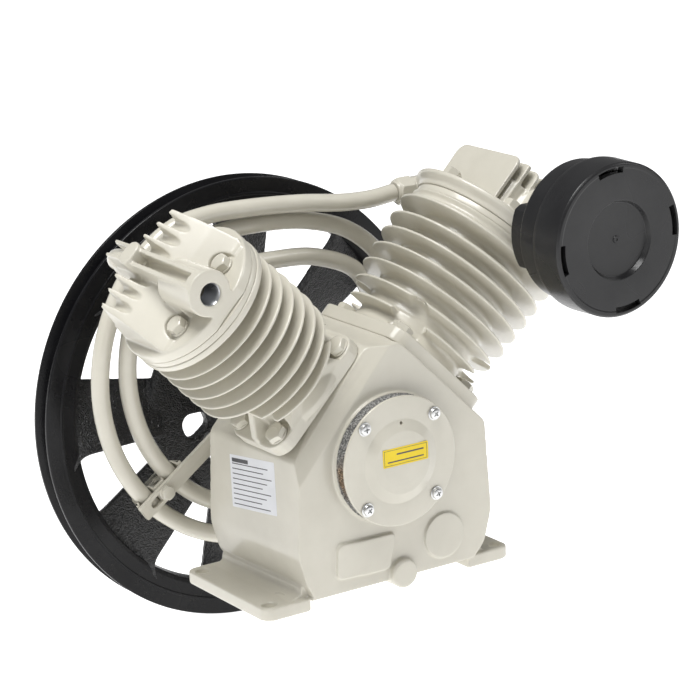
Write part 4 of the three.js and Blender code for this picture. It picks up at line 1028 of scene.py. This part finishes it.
# -------- bearing carrier
def carrier():
    """The rear bearing's flanged housing, a tube that the shaft leaves through."""
    face, back, end = CASE_BACK + GAP, CARRIER_BACK, 140
    profile = bent([(0, CASE_BACK - 7), (39.8, CASE_BACK - 7), (39.8, face), (58, face, 0.8),
                    (58, back, 1.5), (42.4, back, 3), (41.5, end, 1.2), (38, end, 0.6), (36.4, end - 1.4),
                    (36.4, 130), (0, 130)], steps=4)
    return carve(lathe_y(profile, segments=120), (MINUS, rod_y(30, 60, 150, segments=64)),
                 (MINUS, rod_y(36.4, 50, 79.4, segments=64)))


piece("bearing_housing", carrier(), ["bearing_carrier"], "cast_paint")


# -------- flywheel
def rim():
    """The turned rim with its single belt groove, a closed ring."""
    (front, back), inner, groove = RIM_Y, RIM_INNER_R, RIM_R - 14
    middle = (front + back) / 2
    section = rounded([(inner, front + 1.5, 1.5), (inner + 4, front + 0.3, 1.5), (184, front + 0.3, 0.6),
                       (184.4, front - 0.6, 0.4), (186.2, front - 0.6, 0.4), (186.6, front + 0.3, 0.6),
                       (RIM_R - 0.1, front + 0.3, 1.2), (RIM_R, front + 3.6, 0.7), (groove, middle - 4, 0.8),
                       (groove, middle + 4, 0.8), (RIM_R, back - 3.6, 0.7), (RIM_R - 0.1, back - 0.2, 1.2),
                       (inner + 4, back - 0.2, 1.5), (inner, back - 1.6, 1.5), (inner - 1.6, middle, 6)],
                      steps=4)
    turns = 240
    return skin([[(p.x * cos(a), p.y, CRANK_Z + p.x * sin(a)) for p in section]
                 for a in (2 * pi * k / turns for k in range(turns))], closed=True)


def blade(turn):
    """One pitched fan blade: its anticlockwise edge is at the front of the rim, the other behind."""
    thick = 7.6
    # radius, half the width, and the rise from edge to edge
    sections = [(84, 24, 17), (150, 31, 18.6), (157, 31.8, 18.8), (162, 33, 19), (166, 35.4, 19),
                (169, 39, 19), (RIM_INNER_R + 4, 47, 19)]
    loops = []
    for radius, half, rise in sections:
        across = Vector((0, -rise / 2, half))
        normal = Vector((0, half, rise / 2)).normalized()
        loops.append([Vector((radius, 0, 0)) + across * e + normal * f * thick / 2 for e, f in corners(1, 1)])
    centre = at(0, sum(RIM_Y) / 2, CRANK_Z)
    return skin(loops, matrix=centre @ spun(-turn, "Y"))


def spider():
    """Blades, web ring with its windows, and hub, as one casting."""
    middle = sum(RIM_Y) / 2
    web = bent([(0, middle - 5), (91, middle - 5, 3), (94, middle - 2, 2), (94, middle + 2, 2),
                (91, middle + 5, 3), (0, middle + 5)])
    front, back = HUB_Y
    hub = bent([(0, front), (33, front, 1.5), (34.5, front + 2, 1), (36.5, middle - 5, 3),
                (40, middle - 4), (40, middle + 4), (36.5, middle + 5, 3), (34, back, 1.5), (0, back)])
    pane = rounded([(39.5, -6.5, 5), (64, -15, 9), (64, 15, 9), (39.5, 6.5, 5)], steps=6)
    steps = [(PLUS, lathe_y(hub))] + [(PLUS, blade(BLADE_PHASE + i * 360 / BLADES)) for i in range(BLADES)]
    for i in range(BLADES):
        here = at(0, 0, CRANK_Z) @ spun(-(BLADE_PHASE + (i + 0.5) * 360 / BLADES), "Y") @ TO_Y
        steps.append((MINUS, prism(pane, middle - 12, middle + 12, here)))
    # shaft hole and keyway
    steps += [(MINUS, rod_y(15.4, 130, 200, segments=64)),
              (MINUS, box((-4.3, 130, CRANK_Z), (4.3, 200, CRANK_Z + 18.5)))]
    return cast(carve(lathe_y(web, segments=120), *steps), 1.3, 5, 0.35)


piece("flywheel_rim", rim(), ["flywheel"], "black_paint", sharp=38, body=CRANK)
piece("flywheel_spider", spider(), ["flywheel"], "rough_black_paint", sharp=0, body=CRANK)
hub_bolt = at(0, wheel_high.y + 1 + GAP, CRANK_Z) @ BACKWARD
place_bolts("flywheel", [("flywheel_bolt", hub_bolt)], hex_head(23.4, 11, 13.6, 2, 5.2, 20), "zinc_steel",
            CRANK)

# -------- CAD nodes that stay
for part in frame["record"]["subparts"]:
    node = frame["nodes"][part["node"]]
    if not node.hide_render:
        node.data.materials.clear()
        node.data.materials.append(MATERIALS[part["material_slot"]])

scene.collection.children.unlink(scratch)
bpy.data.collections.remove(scratch)


# -------- studio, in metres
FLOOR_HALF = 40
LIT_POINT = Vector((0, 0, 0.13))


def studio_material():
    m = Nodes("studio_floor")
    m.set("Base Color", m.ramp(m.noise(3), (0.3, (0.54, 0.54, 0.54)), (0.7, (0.56, 0.56, 0.56))))
    m.set("Roughness", m.spread(m.noise(40), 0.75, 0.9))
    m.set("Emission Color", (1, 1, 1, 1))
    m.set("Emission Strength", 1.1)
    return m.material


def backdrop():
    """A pale floor at the lowest point of the object."""
    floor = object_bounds()[0][2]
    mesh = bpy.data.meshes.new("studio_floor")
    mesh.from_pydata([(x, y, floor) for x, y in corners(FLOOR_HALF, FLOOR_HALF)], [], [(0, 1, 2, 3)])
    mesh.materials.append(studio_material())
    obj = bpy.data.objects.new("studio_floor", mesh)
    scene.collection.objects.link(obj)


def softbox(name, place, size, watts):
    """A rectangular lamp turned to the middle of the object."""
    data = bpy.data.lights.new(name, "AREA")
    data.shape = "RECTANGLE"
    data.size, data.size_y = size
    data.energy = watts
    lamp = bpy.data.objects.new(name, data)
    lamp.location = place
    lamp.rotation_euler = (LIT_POINT - Vector(place)).to_track_quat("-Z", "Y").to_euler()
    scene.collection.objects.link(lamp)


backdrop()
softbox("top_softbox", (-0.7, -0.25, 2.3), (1.5, 1.0), 54)
softbox("left_softbox", (-2.1, -0.6, 1.0), (0.5, 1.6), 3)
softbox("right_softbox", (1.9, -0.9, 1.5), (0.7, 1.4), 9)

world = bpy.data.worlds.new("studio_world")
scene.world = world
world.use_nodes = True
sky = world.node_tree.nodes["Background"].inputs
sky["Color"].default_value = (1, 1, 1, 1)
sky["Strength"].default_value = 0.2
scene.view_settings.view_transform = "Standard"

# the camera's direction and roll in degrees, and where it sees the origin: right, up and behind, in mm
AZIMUTH, ELEVATION, ROLL = (radians(a) for a in (-33.284, 15.445, -2.241))
ORIGIN_SEEN = Vector((0.43, -188.65, -2369.6))
flat = cos(ELEVATION)
back = Vector((sin(AZIMUTH) * flat, -cos(AZIMUTH) * flat, sin(ELEVATION)))
level = Vector((cos(AZIMUTH), sin(AZIMUTH), 0))
rise = back.cross(level)
right = level * cos(ROLL) + rise * sin(ROLL)
up = rise * cos(ROLL) - level * sin(ROLL)
turn = Matrix((right, up, back)).transposed()
camera_data = bpy.data.cameras.new("camera")
camera_data.lens = 141.9
camera_data.sensor_width = 36
camera = bpy.data.objects.new("camera", camera_data)
camera.matrix_world = Matrix.Translation(-(turn @ ORIGIN_SEEN) * MM) @ turn.to_4x4()
scene.collection.objects.link(camera)
scene.camera = camera
